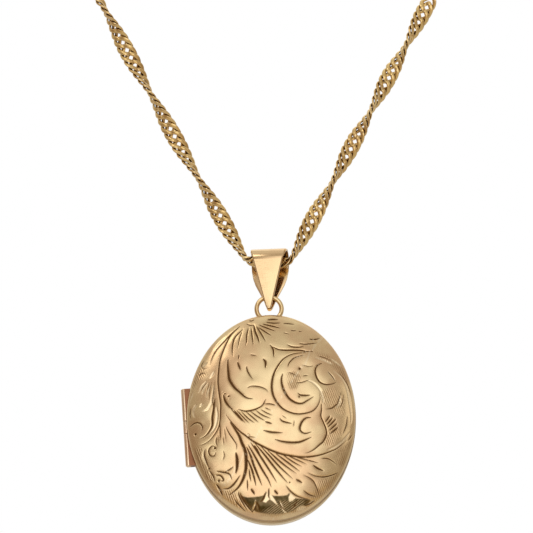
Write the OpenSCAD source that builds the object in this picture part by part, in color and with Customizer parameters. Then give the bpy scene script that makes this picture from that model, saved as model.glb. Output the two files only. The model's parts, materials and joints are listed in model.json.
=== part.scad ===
// Oval photo locket on its bail, hung from a length of necklace chain.
// Millimetres. +Z is up, the front of the locket faces -Y, X runs to the right.
// The hinge sits a little below the body's middle, and its line follows the oval's edge there.
// The origin is the middle of the chain where it passes through the bail's eye.

/* [Locket body] */

// half of the body's width
oval_a = 12.8; // [8:0.1:20]
// half of the body's height
oval_b = 16.2; // [10:0.1:25]
// thickness of the pressed sheet of both covers
sheet_t = 0.45; // [0.25:0.05:0.8]
// height of the front cover's dome above its wall
front_dome = 2.45; // [1:0.05:4]
// depth of the front cover's wall below the dome, rim included
front_wall = 1.0; // [0.6:0.1:2]
// height of the plain rim of the front half
front_rim_h = 0.5; // [0.3:0.05:1]
// height of the back cover's dome behind its wall
back_dome = 1.5; // [0.5:0.05:4]
// depth of the back cover's wall, rim included
back_wall = 1.8; // [1:0.1:3]
// height of the plain rim of the back half
back_rim_h = 0.6; // [0.4:0.05:1]
// y of the plane where the two halves meet
seam_y = -0.5; // [-1.5:0.1:0.5]
// gap left between the two closed halves
seam_gap = 0.04; // [0.02:0.01:0.1]

/* [Closing lip and photo frames] */

// how far the back half's inner lip stands into the front half
lip_proud = 0.6; // [0.3:0.05:0.9]
// thickness of the lip
lip_t = 0.45; // [0.3:0.05:0.8]
// gap between the lip and the front half
lip_gap = 0.12; // [0.05:0.01:0.3]
// width of the frame's flange over the picture
frame_flange = 1.2; // [0.6:0.1:2]
// thickness of the clear window
window_t = 0.2; // [0.1:0.05:0.4]
// thickness of the picture card
card_t = 0.25; // [0.1:0.05:0.5]

/* [Hinge] */

// distance of the hinge line outside the oval's edge
hinge_out = 0.05; // [0:0.05:1]
// how far the hinge's middle lies below the body's middle
hinge_low = 1.4; // [0:0.1:4]
// outer radius of the knuckles
knuckle_r = 0.45; // [0.3:0.05:0.8]
// bore radius of the knuckles
knuckle_bore = 0.22; // [0.15:0.01:0.4]
// radius of the hinge pin
pin_r = 0.2; // [0.1:0.01:0.35]
// length of the whole hinge
hinge_len = 12.0; // [6:0.5:20]
// length of the middle knuckle
mid_len = 1.9; // [1:0.1:6]
// end gap between knuckles, and radial gap round a moving knuckle
hinge_gap = 0.05; // [0.03:0.01:0.15]

/* [Bail and suspension ring] */

// inner radius of the bail's eye
eye_r = 1.5; // [1:0.05:3]
// thickness of the bail's sheet
bail_t = 0.45; // [0.3:0.05:0.8]
// half width of the bail at its eye
bail_half = 2.85; // [1.5:0.05:5]
// depth of the pivot between ring and bail below the chain
pivot_drop = 5.7; // [4:0.1:9]
// mean radius of the suspension ring
ring_r = 1.9; // [1:0.05:3]
// radius of the ring's wire
ring_wire = 0.35; // [0.2:0.05:0.6]
// how much of the ring's outer height is cut away where it is soldered to the body
ring_sink = 0.9; // [0.1:0.05:1.2]
// how far the ring is soldered from the body's middle, towards the opening side
ring_off = -0.3; // [-2:0.1:2]

/* [Chain and clasp] */

// diameter of the chain's envelope
chain_d = 2.2; // [1:0.1:4]
// mean radius of the bolt ring
bolt_r = 2.1; // [1.5:0.1:4]
// outer radius of the bolt ring's tube
bolt_tube = 0.55; // [0.3:0.05:0.8]
// bore radius of the bolt ring's tube
bolt_bore = 0.36; // [0.2:0.02:0.6]
// radius of the sliding bolt
bolt_wire = 0.3; // [0.15:0.02:0.5]
// angle of the bolt ring's gap
bolt_gap = 60; // [40:5:90]
// travel of the bolt in degrees
bolt_travel = 58; // [30:1:80]
// bore radius of the end ring
end_bore = 1.25; // [0.8:0.05:2.5]
// section of the end ring
end_sec = 0.6; // [0.4:0.05:1]

/* [Hidden] */

$fn = 64;

// the body: everything turned is made round, then stretched along Z by this ratio
stretch = oval_b / oval_a;
pivot_z = -pivot_drop;
ring_z = pivot_z - ring_r;
ring_up = oval_b * sqrt(1 - pow(ring_off / oval_a, 2)) - ring_sink + ring_wire + ring_r;
body_x = -ring_off;
body_z = ring_z - ring_up;

// round radii, in the widthwise direction
cover_a = oval_a - 0.08;
cavity_a = oval_a - 0.08 - sheet_t;
lip_in = cavity_a - lip_gap - lip_t;
back_frame_in = lip_in - 0.45;
front_frame_out = cavity_a - 0.7;
front_frame_in = front_frame_out - 0.5;

// hinge, in its own frame, where the oval's edge touches the line x = -oval_a at z = 0
hinge_turn = asin(hinge_low / oval_b);
hinge_tilt = atan(tan(hinge_turn) / stretch);
hinge_x = -oval_a - hinge_out;
leaf_start = hinge_x + 0.1;
leaf_end = -oval_a * sqrt(1 - pow(hinge_len / 2 / oval_b, 2)) + 0.8;
knuckle_len = (hinge_len - mid_len) / 2 - hinge_gap;

// chain: hand-chosen points (x, z), strands straight from the bail to their ends
left_run = [-0.535, 1];
right_run = [0.505, 1];
bend = [[-4.1, 1.2], [-3.45, 0.4], [-2.4, 0.0], [0, -0.05], [2.4, 0.0], [3.45, 0.4], [4.05, 1.2]];
left_h = 44.1;
right_h = 43.5;
strand_rings = 9;
left_top = bend[0] + left_run * left_h;
right_top = bend[6] + right_run * right_h;
left_dir = left_run / norm(left_run);
right_dir = right_run / norm(right_run);
loop_r = 0.8;
loop_wire = 0.25;
loop_at = left_top + left_dir * (loop_r + loop_wire + 0.03);
bolt_at = loop_at + left_dir * (loop_r + bolt_r + bolt_tube);
gap_from = 100;
end_at = right_top + right_dir * (end_bore + end_sec + 0.03);

GOLD = [0.86, 0.70, 0.42];
ROSE = [0.85, 0.62, 0.48];
BRIGHT = [0.92, 0.78, 0.50];
CLEAR = [0.85, 0.90, 0.92, 0.5];
CARD = [0.93, 0.90, 0.83];

// ---- helpers ----

// from the body's own frame, with its middle on the seam plane, to its hanging place
module in_body() {
    translate([body_x, seam_y, body_z])
        children();
}

// from the hinge's frame to its place on the body's edge
module in_hinge() {
    in_body()
        translate([-oval_a * cos(hinge_turn), 0, -hinge_low])
            rotate([0, -hinge_tilt, 0])
                translate([oval_a, 0, 0])
                    children();
}

// an oval slab; heights are measured from the seam towards the front
module oval_plate(r, h0, h1) {
    in_body()
        translate([0, -h0, 0])
            rotate([90, 0, 0])
                linear_extrude(height = h1 - h0)
                    scale([1, stretch])
                        circle(r = r, $fn = 256);
}

// an oval ring of rectangular section
module oval_ring(r_out, r_in, h0, h1) {
    difference() {
        oval_plate(r_out, h0, h1);
        oval_plate(r_in, h0 - 1, h1 + 1);
    }
}

// half of an ellipsoid, on the front side (side = 1) or the back side (side = -1) of height h
module half_dome(r, rise, h, side) {
    in_body()
        difference() {
            translate([0, -h, 0])
                rotate([90, 0, 0])
                    scale([r, r * stretch, rise])
                        sphere(r = 1);
            translate([-50, side > 0 ? -h : -h - 100, -50])
                cube([100, 100, 100]);
        }
}

// a domed cover with an even wall, open towards the seam
module domed_cover(rim_h, wall_h, rise, side) {
    low = min(side * rim_h, side * wall_h);
    high = max(side * rim_h, side * wall_h);
    difference() {
        union() {
            oval_plate(cover_a, low, high);
            half_dome(cover_a, rise, side * wall_h, side);
        }
        oval_plate(cavity_a, side > 0 ? low - 1 : low, side > 0 ? high : high + 1);
        half_dome(cavity_a, rise - sheet_t, side * wall_h, side);
    }
}

// a cylinder along the hinge line, between two heights measured from the hinge's middle
module hinge_rod(r, z0, z1) {
    in_hinge()
        translate([hinge_x, 0, z0])
            cylinder(h = z1 - z0, r = r);
}

// the block of rim that a hinge leaf takes the place of, between two depths behind the seam
module leaf_block(y0, y1) {
    in_hinge()
        translate([leaf_start, y0, -hinge_len / 2])
            cube([leaf_end - leaf_start, y1 - y0, hinge_len]);
}

// the same block carried outwards, to cut the rim with
module rim_cut(y0, y1) {
    in_hinge()
        translate([hinge_x - 2, y0, -hinge_len / 2])
            cube([leaf_end - hinge_x + 2, y1 - y0, hinge_len]);
}

module torus_xz(at, r_mean, r_wire) {
    translate([at[0], 0, at[1]])
        rotate([90, 0, 0])
            rotate_extrude()
                translate([r_mean, 0])
                    circle(r = r_wire);
}

// part of a ring about Y at the bolt ring's centre, from one angle over another
module bolt_arc(from, over) {
    translate([bolt_at[0], 0, bolt_at[1]])
        rotate([90, 0, 0])
            rotate([0, 0, from])
                rotate_extrude(angle = over)
                    children();
}

// ---- chain and clasp ----

// points of the centre line: left strand downwards, the bend in the bail, right strand upwards
chain_path = concat(
    [for (i = [strand_rings : -1 : 1]) bend[0] + left_run * left_h * i / strand_rings],
    bend,
    [for (i = [1 : strand_rings]) bend[6] + right_run * right_h * i / strand_rings]);

function path_dir(i) =
    let (a = chain_path[max(i - 1, 0)], b = chain_path[min(i + 1, len(chain_path) - 1)])
    (b - a) / norm(b - a);

// one vertex of the tube: k counts round the ring at path point i
function tube_point(i, k) =
    let (d = path_dir(i), t = k * 45, r = chain_d / 2)
    [chain_path[i][0] - d[1] * r * cos(t), r * sin(t), chain_path[i][1] + d[0] * r * cos(t)];

module neck_chain() {
    rings = len(chain_path);
    color(GOLD)
        polyhedron(
            points = [for (i = [0 : rings - 1], k = [0 : 7]) tube_point(i, k)],
            faces = concat(
                [[for (k = [0 : 7]) k]],
                [for (i = [0 : rings - 2], k = [0 : 7])
                    [i * 8 + k, (i + 1) * 8 + k, (i + 1) * 8 + (k + 1) % 8, i * 8 + (k + 1) % 8]],
                [[for (k = [7 : -1 : 0]) (rings - 1) * 8 + k]]));
}

module bolt_ring_loop() {
    color(GOLD)
        difference() {
            torus_xz(loop_at, loop_r, loop_wire);
            torus_xz(bolt_at, bolt_r, bolt_tube);
        }
}

module bolt_ring_case() {
    color(GOLD)
        difference() {
            bolt_arc(gap_from + bolt_gap, 360 - bolt_gap)
                translate([bolt_r, 0])
                    difference() {
                        circle(r = bolt_tube);
                        circle(r = bolt_bore);
                    }
            bolt_arc(gap_from + bolt_gap + 38.5, bolt_travel + 14)
                translate([bolt_r, -0.2])
                    square([1, 0.4]);
        }
}

module bolt_ring_bolt() {
    color(BRIGHT)
        union() {
            bolt_arc(gap_from - 7, bolt_gap + 55)
                translate([bolt_r, 0])
                    circle(r = bolt_wire);
            bolt_arc(gap_from + bolt_gap + 40, 8)
                translate([bolt_r, -0.15])
                    square([0.95, 0.3]);
        }
}

module end_ring() {
    color(GOLD)
        translate([end_at[0], 0, end_at[1]])
            rotate([90, 0, 0])
                rotate_extrude()
                    translate([end_bore, -end_sec / 2])
                        polygon([[0, 0], [end_sec * 0.7, 0], [end_sec, end_sec * 0.3],
                                 [end_sec, end_sec * 0.7], [end_sec * 0.7, end_sec], [0, end_sec]]);
}

// ---- bail and ring ----

// side view of the bent sheet, in [y, z]
module bail_side() {
    difference() {
        union() {
            circle(r = eye_r + bail_t);
            polygon([[-eye_r - bail_t, 0], [-1.0, pivot_z], [-0.45, pivot_z - 2],
                     [0.45, pivot_z - 2], [1.0, pivot_z], [eye_r + bail_t, 0]]);
        }
        circle(r = eye_r);
        polygon([[-eye_r, 0], [-0.55, pivot_z], [0.55, pivot_z], [eye_r, 0]]);
    }
}

// half outlines of the two leaves, in [x, z]: the front one tapers straight, the back one is fuller
front_leaf = [[bail_half, 3], [bail_half, 1.9], [2.32, 0.4], [0.72, pivot_z], [0.3, -7.4],
              [0.12, pivot_z - 2]];
back_leaf = [[bail_half, 3], [2.9, 0], [2.82, -1.2], [2.6, -2.4], [2.25, -3.4], [1.85, -4.3],
             [1.2, pivot_z], [0.62, -6.9], [0.3, -7.4], [0.12, pivot_z - 2]];

function flipped(list) = [for (i = [len(list) - 1 : -1 : 0]) list[i]];

// one leaf's room, from its half outline, between y0 and y1
module leaf_room(half, y0, y1) {
    translate([0, y1, 0])
        rotate([90, 0, 0])
            linear_extrude(height = y1 - y0)
                polygon(concat(half, [for (p = flipped(half)) [-p[0], p[1]]]));
}

// the room the ring's top arc sweeps as it swings about the pivot
module ring_room() {
    steps = 6;
    reach = 1.5;
    room = [for (i = [-steps : steps]) let (x = reach * i / steps)
        [ring_wire + 0.03 + ring_r - sqrt(ring_r * ring_r - x * x), x]];
    difference() {
        translate([0, 0, pivot_z])
            rotate([0, 90, 0])
                rotate_extrude()
                    polygon(concat([[0, -reach]], room, [[0, reach]]));
        translate([-5, -5, pivot_z + ring_wire + 0.05])
            cube(10);
    }
}

module bail() {
    color(BRIGHT)
        difference() {
            intersection() {
                rotate([90, 0, 90])
                    linear_extrude(height = 8, center = true)
                        bail_side();
                union() {
                    leaf_room(front_leaf, -4, 0);
                    leaf_room(back_leaf, 0, 4);
                }
            }
            ring_room();
        }
}

module suspension_ring() {
    color(GOLD)
        difference() {
            torus_xz([0, ring_z], ring_r, ring_wire);
            oval_plate(oval_a, -2, 1);
        }
}

// ---- back half ----

module back_cover() {
    color(GOLD)
        domed_cover(back_rim_h, back_wall, back_dome, -1);
}

module back_rim() {
    color(GOLD)
        difference() {
            oval_ring(oval_a, cavity_a, -back_rim_h, 0);
            rim_cut(-1, back_rim_h + 1);
        }
}

module back_lip() {
    proud = cavity_a - lip_gap;
    color(BRIGHT)
        difference() {
            union() {
                oval_plate(cavity_a, -1.3, -back_rim_h);
                oval_plate(proud, -back_rim_h, lip_proud - 0.12);
                oval_plate(proud - 0.1, lip_proud - 0.12, lip_proud);
            }
            oval_plate(lip_in, -2, 2);
        }
}

module back_hinge_leaf() {
    half = hinge_len / 2;
    mid = mid_len / 2 + hinge_gap;
    color(ROSE)
        difference() {
            leaf_block(hinge_gap, back_rim_h);
            oval_plate(cavity_a, -3, 3);
            hinge_rod(knuckle_r, mid, half + 1);
            hinge_rod(knuckle_r, -half - 1, -mid);
            hinge_rod(knuckle_r + hinge_gap, -mid, mid);
        }
}

module knuckle(z0, z1) {
    color(ROSE)
        difference() {
            hinge_rod(knuckle_r, z0, z1);
            hinge_rod(knuckle_bore, z0 - 1, z1 + 1);
        }
}

module back_knuckle_top() {
    knuckle(hinge_len / 2 - knuckle_len, hinge_len / 2);
}

module back_knuckle_bottom() {
    knuckle(-hinge_len / 2, -hinge_len / 2 + knuckle_len);
}

module hinge_pin() {
    half = hinge_len / 2;
    color(ROSE)
        union() {
            hinge_rod(pin_r, -half - 0.12, half + 0.12);
            hinge_rod(0.33, half, half + 0.12);
            hinge_rod(0.33, -half - 0.12, -half);
        }
}

module back_photo_frame() {
    color(BRIGHT)
        difference() {
            oval_plate(lip_in, -1.2, -0.15);
            oval_plate(lip_in - frame_flange, -2, 1);
            oval_plate(back_frame_in, -2, -0.45);
        }
}

module back_window() {
    color(CLEAR)
        oval_plate(back_frame_in, -0.45 - window_t, -0.45);
}

module back_card() {
    color(CARD)
        oval_plate(back_frame_in, -0.45 - window_t - card_t, -0.45 - window_t);
}

// ---- front half ----

module front_cover() {
    color(GOLD)
        domed_cover(front_rim_h, front_wall, front_dome, 1);
}

module front_rim() {
    color(GOLD)
        difference() {
            oval_ring(oval_a, cavity_a, seam_gap, front_rim_h);
            rim_cut(-front_rim_h - 1, 1);
            // finger-nail nick at the opening side
            in_body()
                translate([oval_a + 0.45, 0, -1.75])
                    cylinder(h = 3.5, r = 0.6);
        }
}

module front_hinge_leaf() {
    half = hinge_len / 2;
    mid = mid_len / 2;
    color(ROSE)
        difference() {
            leaf_block(-front_rim_h, -hinge_gap);
            oval_plate(cavity_a, -3, 3);
            hinge_rod(knuckle_r, -mid, mid);
            hinge_rod(knuckle_r + hinge_gap, mid, half + 1);
            hinge_rod(knuckle_r + hinge_gap, -half - 1, -mid);
        }
}

module front_knuckle() {
    knuckle(-mid_len / 2, mid_len / 2);
}

module front_photo_frame() {
    flange_in = front_frame_in - 0.6;
    color(BRIGHT)
        difference() {
            union() {
                oval_plate(cavity_a, 0.7, 0.95);
                oval_plate(front_frame_out, 0.95, 1.45);
            }
            oval_plate(flange_in, 0, 2);
            oval_plate(front_frame_in, 0.95, 2);
        }
}

module front_window() {
    color(CLEAR)
        oval_plate(front_frame_in, 0.95, 0.95 + window_t);
}

module front_card() {
    color(CARD)
        oval_plate(front_frame_in, 0.95 + window_t, 0.95 + window_t + card_t);
}

neck_chain();
bolt_ring_loop();
bolt_ring_case();
bolt_ring_bolt();
end_ring();
bail();
suspension_ring();
back_cover();
back_rim();
back_lip();
back_hinge_leaf();
back_knuckle_top();
back_knuckle_bottom();
hinge_pin();
back_photo_frame();
back_window();
back_card();
front_cover();
front_rim();
front_hinge_leaf();
front_knuckle();
front_photo_frame();
front_window();
front_card();
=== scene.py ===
"""The looks of an oval photo locket on its chain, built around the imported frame.

Blender works in metres; the sizes below are in millimetres, as in the part's source, and MM turns them.
The body's pieces are made in its own frame (x to the right, y away from the viewer, z up, from the
middle of the seam plane) and put in place by in_body(); the hinge has a frame of its own as well.
"""

import json
import math

import bmesh
import bpy
import numpy as np
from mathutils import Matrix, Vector


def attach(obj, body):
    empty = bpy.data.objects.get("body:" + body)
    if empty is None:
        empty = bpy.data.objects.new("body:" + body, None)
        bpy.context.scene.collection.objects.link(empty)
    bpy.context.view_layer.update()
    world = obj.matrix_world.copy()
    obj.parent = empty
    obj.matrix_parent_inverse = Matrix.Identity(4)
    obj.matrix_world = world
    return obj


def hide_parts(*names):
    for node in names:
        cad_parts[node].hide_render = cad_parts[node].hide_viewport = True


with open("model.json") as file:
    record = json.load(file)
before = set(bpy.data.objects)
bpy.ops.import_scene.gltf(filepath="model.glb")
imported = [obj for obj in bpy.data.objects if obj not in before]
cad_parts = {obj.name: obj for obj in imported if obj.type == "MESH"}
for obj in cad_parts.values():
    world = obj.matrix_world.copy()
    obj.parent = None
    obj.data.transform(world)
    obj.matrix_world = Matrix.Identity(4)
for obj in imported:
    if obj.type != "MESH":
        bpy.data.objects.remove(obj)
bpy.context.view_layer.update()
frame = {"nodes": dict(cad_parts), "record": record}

MM = 0.001

# ---------------------------------------------------------------- sizes, as in the part's source
OVAL_A, OVAL_B = 12.8, 16.2
STRETCH = OVAL_B / OVAL_A
SHEET = 0.45
SEAM_Y = -0.5
PIVOT_Z = -5.7
RING_R, RING_WIRE, RING_SINK, RING_OFF = 1.9, 0.35, 0.9, -0.3
RING_Z = PIVOT_Z - RING_R
RING_UP = OVAL_B * math.sqrt(1 - (RING_OFF / OVAL_A) ** 2) - RING_SINK + RING_WIRE + RING_R
BODY_X, BODY_Z = -RING_OFF, RING_Z - RING_UP
COVER_A = OVAL_A - 0.08
CAVITY_A = COVER_A - SHEET
FRONT_DOME, FRONT_WALL, FRONT_RIM = 2.45, 1.0, 0.5
BACK_DOME, BACK_WALL, BACK_RIM = 1.5, 1.8, 0.6
SEAM_GAP = 0.07
HINGE_X, HINGE_HALF, MID_HALF, HINGE_LOW = -OVAL_A - 0.05, 6.0, 0.95, 1.4
HINGE_TURN = math.asin(HINGE_LOW / OVAL_B)
HINGE_TILT = math.atan(math.tan(HINGE_TURN) / STRETCH)
KNUCKLE_R, KNUCKLE_BORE, PIN_R = 0.45, 0.22, 0.2
EYE_R, BAIL_T = 1.5, 0.45

# ---------------------------------------------------------------- the camera
VIEW_ELEVATION = math.radians(-18)
VIEW_DISTANCE = 0.6
VIEW_TARGET = Vector((-0.40, 0.0, -0.79)) * MM
camera_data = bpy.data.cameras.new("camera")
camera_data.lens = 265
camera_data.sensor_width = 36
camera_data.clip_start = 0.01
camera = bpy.data.objects.new("camera", camera_data)
bpy.context.scene.collection.objects.link(camera)
look_back = Vector((0, -math.cos(VIEW_ELEVATION), math.sin(VIEW_ELEVATION)))
camera.location = VIEW_TARGET + look_back * VIEW_DISTANCE
camera.rotation_mode = "QUATERNION"
camera.rotation_quaternion = (-look_back).to_track_quat("-Z", "Y")
bpy.context.scene.camera = camera


# ---------------------------------------------------------------- shader helpers
class Shader:
    """A node tree that is built call by call."""

    def __init__(self, tree):
        self.tree = tree
        tree.nodes.clear()

    def node(self, kind, inputs=None, **props):
        made = self.tree.nodes.new(kind)
        for key, value in props.items():
            setattr(made, key, value)
        for key, value in (inputs or {}).items():
            if isinstance(value, bpy.types.NodeSocket):
                self.tree.links.new(value, made.inputs[key])
            else:
                made.inputs[key].default_value = value
        return made

    def math(self, operation, a, b=0.0, c=0.0):
        return self.node("ShaderNodeMath", {0: a, 1: b, 2: c}, operation=operation).outputs[0]

    def smooth(self, value, low, high, out_low=0.0, out_high=1.0):
        made = self.node("ShaderNodeMapRange", {"Value": value, "From Min": low, "From Max": high,
                                                "To Min": out_low, "To Max": out_high},
                         interpolation_type="SMOOTHSTEP")
        return made.outputs["Result"]

    def mix(self, factor, a, b, blend="MIX"):
        made = self.node("ShaderNodeMix", data_type="RGBA", blend_type=blend)
        for socket, value in ((made.inputs[0], factor), (made.inputs[6], a), (made.inputs[7], b)):
            if isinstance(value, bpy.types.NodeSocket):
                self.tree.links.new(value, socket)
            elif isinstance(value, (int, float)):
                socket.default_value = value
            else:
                socket.default_value = (*value, 1.0)
        return made.outputs[2]

    def noise(self, coords, scale, detail=2.0, roughness=0.5, distortion=0.0):
        return self.node("ShaderNodeTexNoise", {"Vector": coords, "Scale": scale, "Detail": detail,
                                                "Roughness": roughness, "Distortion": distortion}).outputs[0]

    def product(self, *values):
        result = values[0]
        for value in values[1:]:
            result = self.math("MULTIPLY", result, value)
        return result

    def object_coords(self):
        return self.node("ShaderNodeTexCoord").outputs["Object"]

    def mapped(self, coords, scale=(1, 1, 1), turn=(0, 0, 0)):
        return self.node("ShaderNodeMapping", {"Vector": coords, "Scale": scale, "Rotation": turn}).outputs[0]

    def bump(self, height, distance, strength=1.0, normal=None):
        inputs = {"Height": height, "Distance": distance, "Strength": strength}
        if normal is not None:
            inputs["Normal"] = normal
        return self.node("ShaderNodeBump", inputs).outputs["Normal"]

    def attribute(self, name):
        return self.node("ShaderNodeAttribute", attribute_name=name).outputs["Fac"]

    def hairlines(self, coords, scale, angle):
        """Noise drawn out into long scratches, turned by angle degrees about the depth axis."""
        return self.noise(self.mapped(coords, scale, (0, math.radians(angle), 0)), 1.0)

    def lines(self, coords, scale, angle, distortion, direction):
        """Fine parallel lines, turned by angle degrees about the depth axis."""
        inputs = {"Vector": self.mapped(coords, turn=(0, math.radians(angle), 0)), "Scale": scale,
                  "Distortion": distortion, "Detail": 2.0, "Detail Scale": 1.5}
        return self.node("ShaderNodeTexWave", inputs, bands_direction=direction).outputs["Fac"]

    def surface(self, inputs):
        """The material's one shader, with its output."""
        shader = self.node("ShaderNodeBsdfPrincipled", inputs)
        self.node("ShaderNodeOutputMaterial", {"Surface": shader.outputs[0]})


def new_material(name):
    made = bpy.data.materials.new(name)
    made.use_nodes = True
    return made, Shader(made.node_tree)


# ---------------------------------------------------------------- materials
CREAM_GOLD = (0.93, 0.73, 0.43)
YELLOW_GOLD = (0.86, 0.62, 0.27)
OCHRE_GOLD = (0.72, 0.47, 0.18)
ROSE_GOLD = (0.95, 0.72, 0.50)
COPPER_GOLD = (0.90, 0.58, 0.39)
WORN_EDGE = (1.0, 0.85, 0.60)
FACET_PAINTED_HIGHLIGHT = (1.0, 0.82, 0.55)
GROUND_TINT = (0.62, 0.40, 0.22)
HATCH_BROWN = (0.30, 0.17, 0.07)
STAIN_AND_SHADE_BROWN = (0.60, 0.36, 0.15)
SEAM_GRIME_AND_SHADE = (0.24, 0.12, 0.045)
PATINA_AND_SHADE_BROWN = (0.13, 0.055, 0.018)
OLIVE_PATINA_AND_SHADE = (0.06, 0.041, 0.011)
CUT_PATINA = (0.145, 0.068, 0.022)

# depths of the bumps in metres, and noise scales in cells for each metre
SCRATCH_DEPTH, HATCH_DEPTH = 0.0000025, 0.00004
CLOUD_SCALE, RUBBED_SCALE, BLOTCH_SCALE, FINE_SCALE = 190.0, 650.0, 900.0, 5200.0
LONG_HAIRS, STEEP_HAIRS = (500, 500, 9000), (7600, 600, 700)
GROUND_LINES, BAND_LINES = 1060.0, 1150.0


def gold(name, light, deep, roughness=0.2, scratches=0.5, crevice_shade=0.5, reach=0.5, worn=0.35, engraved=False,
         seams=()):
    """Worn polished gold: drifting alloy tint, hairline scratches, brighter edges, patina and painted shade
    in the crevices.
    crevice_shade is how dark the hollows are painted, reach how wide they are in mm, and worn how bright the
    edges are.
    seams are heights from the closing seam, in mm towards the front, where dirt and painted shade lie along a
    joint."""
    made, sh = new_material(name)
    coords = sh.object_coords()
    cloud = sh.noise(coords, CLOUD_SCALE, 3.0, 0.55)
    colour = sh.mix(sh.smooth(cloud, 0.36, 0.68), light, deep)
    fine = sh.noise(coords, FINE_SCALE, 3.0, 0.6)
    hairs = sh.math("ADD", sh.smooth(sh.hairlines(coords, LONG_HAIRS, 28), 0.60, 0.72),
                    sh.smooth(sh.hairlines(coords, STEEP_HAIRS, -12), 0.60, 0.72))
    rough = sh.math("ADD", sh.product(hairs, 0.10 * scratches),
                    sh.math("MULTIPLY_ADD", fine, 0.12, roughness - 0.06))
    relief = sh.math("ADD", sh.product(hairs, -0.35 * scratches), sh.product(fine, 0.25))
    normal = sh.bump(relief, SCRATCH_DEPTH)
    if engraved:
        colour, rough, normal = engraved_layers(sh, coords, colour, rough, normal)
    edge = sh.smooth(sh.node("ShaderNodeNewGeometry").outputs["Pointiness"], 0.52, 0.62)
    colour = sh.mix(sh.product(edge, worn), colour, WORN_EDGE)
    # Patina and painted shade: the colour is darkened brown where ambient occlusion finds hollows and gaps
    # between parts.
    hollow = sh.node("ShaderNodeAmbientOcclusion", {"Distance": reach * MM}, samples=4).outputs["AO"]
    colour = sh.mix(sh.smooth(hollow, 0.75, 0.15, 0.0, crevice_shade), colour, PATINA_AND_SHADE_BROWN)
    depth = sh.node("ShaderNodeSeparateXYZ", {0: coords}).outputs[1]
    # Dirt and painted shade: a dark brown band painted along each joint.
    for height in seams:
        away = sh.math("ABSOLUTE", sh.math("MULTIPLY_ADD", depth, 1 / MM, height - SEAM_Y))
        grime_and_shade = sh.product(sh.smooth(away, 0.26, 0.06), sh.smooth(cloud, 0.25, 0.6, 0.85, 0.6))
        colour = sh.mix(grime_and_shade, colour, SEAM_GRIME_AND_SHADE)
    sh.surface({"Base Color": colour, "Metallic": 1.0, "Roughness": rough, "Normal": normal})
    return made


def engraved_layers(sh, coords, colour, rough, normal):
    """What the engraving adds to the gold: hatching, the dark ground in oxidised colour and painted shade,
    bright facets with a painted highlight, brown staining with painted shade beside the cuts, and dark cuts.
    """
    cut = sh.smooth(sh.attribute("cut"), 0.28, 0.85)
    dark = sh.smooth(sh.attribute("dark"), 0.05, 0.95)
    rubbed = sh.smooth(sh.noise(coords, RUBBED_SCALE), 0.35, 0.62, 0.4, 1.0)
    ground = sh.product(sh.attribute("ground"), rubbed)
    ground_lines = sh.lines(coords, GROUND_LINES, 20, 2.0, "X")
    band_lines = sh.lines(coords, BAND_LINES, 36, 1.5, "Z")
    hatch = sh.product(sh.mix(dark, ground_lines, band_lines), ground)
    normal = sh.bump(sh.product(hatch, -1.0), HATCH_DEPTH, 0.6, normal)
    colour = sh.mix(sh.product(ground, 0.32), colour, GROUND_TINT)
    colour = sh.mix(sh.product(hatch, 0.7), colour, HATCH_BROWN)
    blotches = sh.smooth(sh.noise(coords, BLOTCH_SCALE), 0.35, 0.7, 1.0, 0.86)
    shows = sh.math("MULTIPLY_ADD", sh.product(sh.smooth(band_lines, 0.55, 0.2), ground), -0.5, 1.0)
    # Oxidised ground and painted shade: the dark ground under the palmette is painted olive-brown.
    colour = sh.mix(sh.product(dark, blotches, shows), colour, OLIVE_PATINA_AND_SHADE)
    # Painted highlight: the bright-cut facets and the petal tips are lightened.
    colour = sh.mix(sh.product(sh.attribute("painted_highlight"), 0.85), colour, FACET_PAINTED_HIGHLIGHT)
    # Brown staining and painted shade, spread wide beside the cuts.
    colour = sh.mix(sh.smooth(sh.attribute("cut_halo"), 0.06, 0.5, 0.0, 0.42), colour, STAIN_AND_SHADE_BROWN)
    colour = sh.mix(cut, colour, CUT_PATINA)
    rough = sh.math("MULTIPLY_ADD", cut, 0.25, sh.math("MULTIPLY_ADD", dark, -0.12, rough))
    return colour, rough, normal


def clear_sheet(name):
    """Clear plastic sheet with a little haze and fine scratches."""
    made, sh = new_material(name)
    coords = sh.object_coords()
    haze = sh.noise(coords, BLOTCH_SCALE, 3.0)
    normal = sh.bump(sh.smooth(sh.hairlines(coords, LONG_HAIRS, 20), 0.6, 0.7), 0.000002)
    tint = sh.mix(haze, (0.97, 0.99, 0.98), (0.93, 0.95, 0.93))
    sh.surface({"Base Color": tint, "Roughness": sh.math("MULTIPLY_ADD", haze, 0.10, 0.03), "Normal": normal,
                "Alpha": 0.2, "IOR": 1.46})
    return made


def card(name):
    """Cream card with paper fibres and a little foxing."""
    made, sh = new_material(name)
    coords = sh.object_coords()
    fibre = sh.noise(sh.mapped(coords, (2500, 2500, 900)), 1.0, 4.0, 0.65)
    age = sh.noise(coords, 130.0, 3.0)
    colour = sh.mix(sh.smooth(age, 0.45, 0.7), (0.83, 0.77, 0.64), (0.70, 0.60, 0.43))
    colour = sh.mix(sh.product(fibre, 0.25), colour, (0.58, 0.50, 0.38))
    sh.surface({"Base Color": colour, "Roughness": 0.85, "Normal": sh.bump(fibre, 0.00002)})
    return made


ENGRAVED = gold("engraved_gold", CREAM_GOLD, (0.82, 0.56, 0.33), roughness=0.25, scratches=0.45, reach=0.3,
                engraved=True, seams=[FRONT_RIM, FRONT_WALL])
PLAIN = gold("plain_gold", CREAM_GOLD, (0.91, 0.69, 0.41), roughness=0.17, scratches=0.8, crevice_shade=0.9,
             reach=0.35, seams=[FRONT_RIM, 0, -BACK_RIM])
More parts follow.
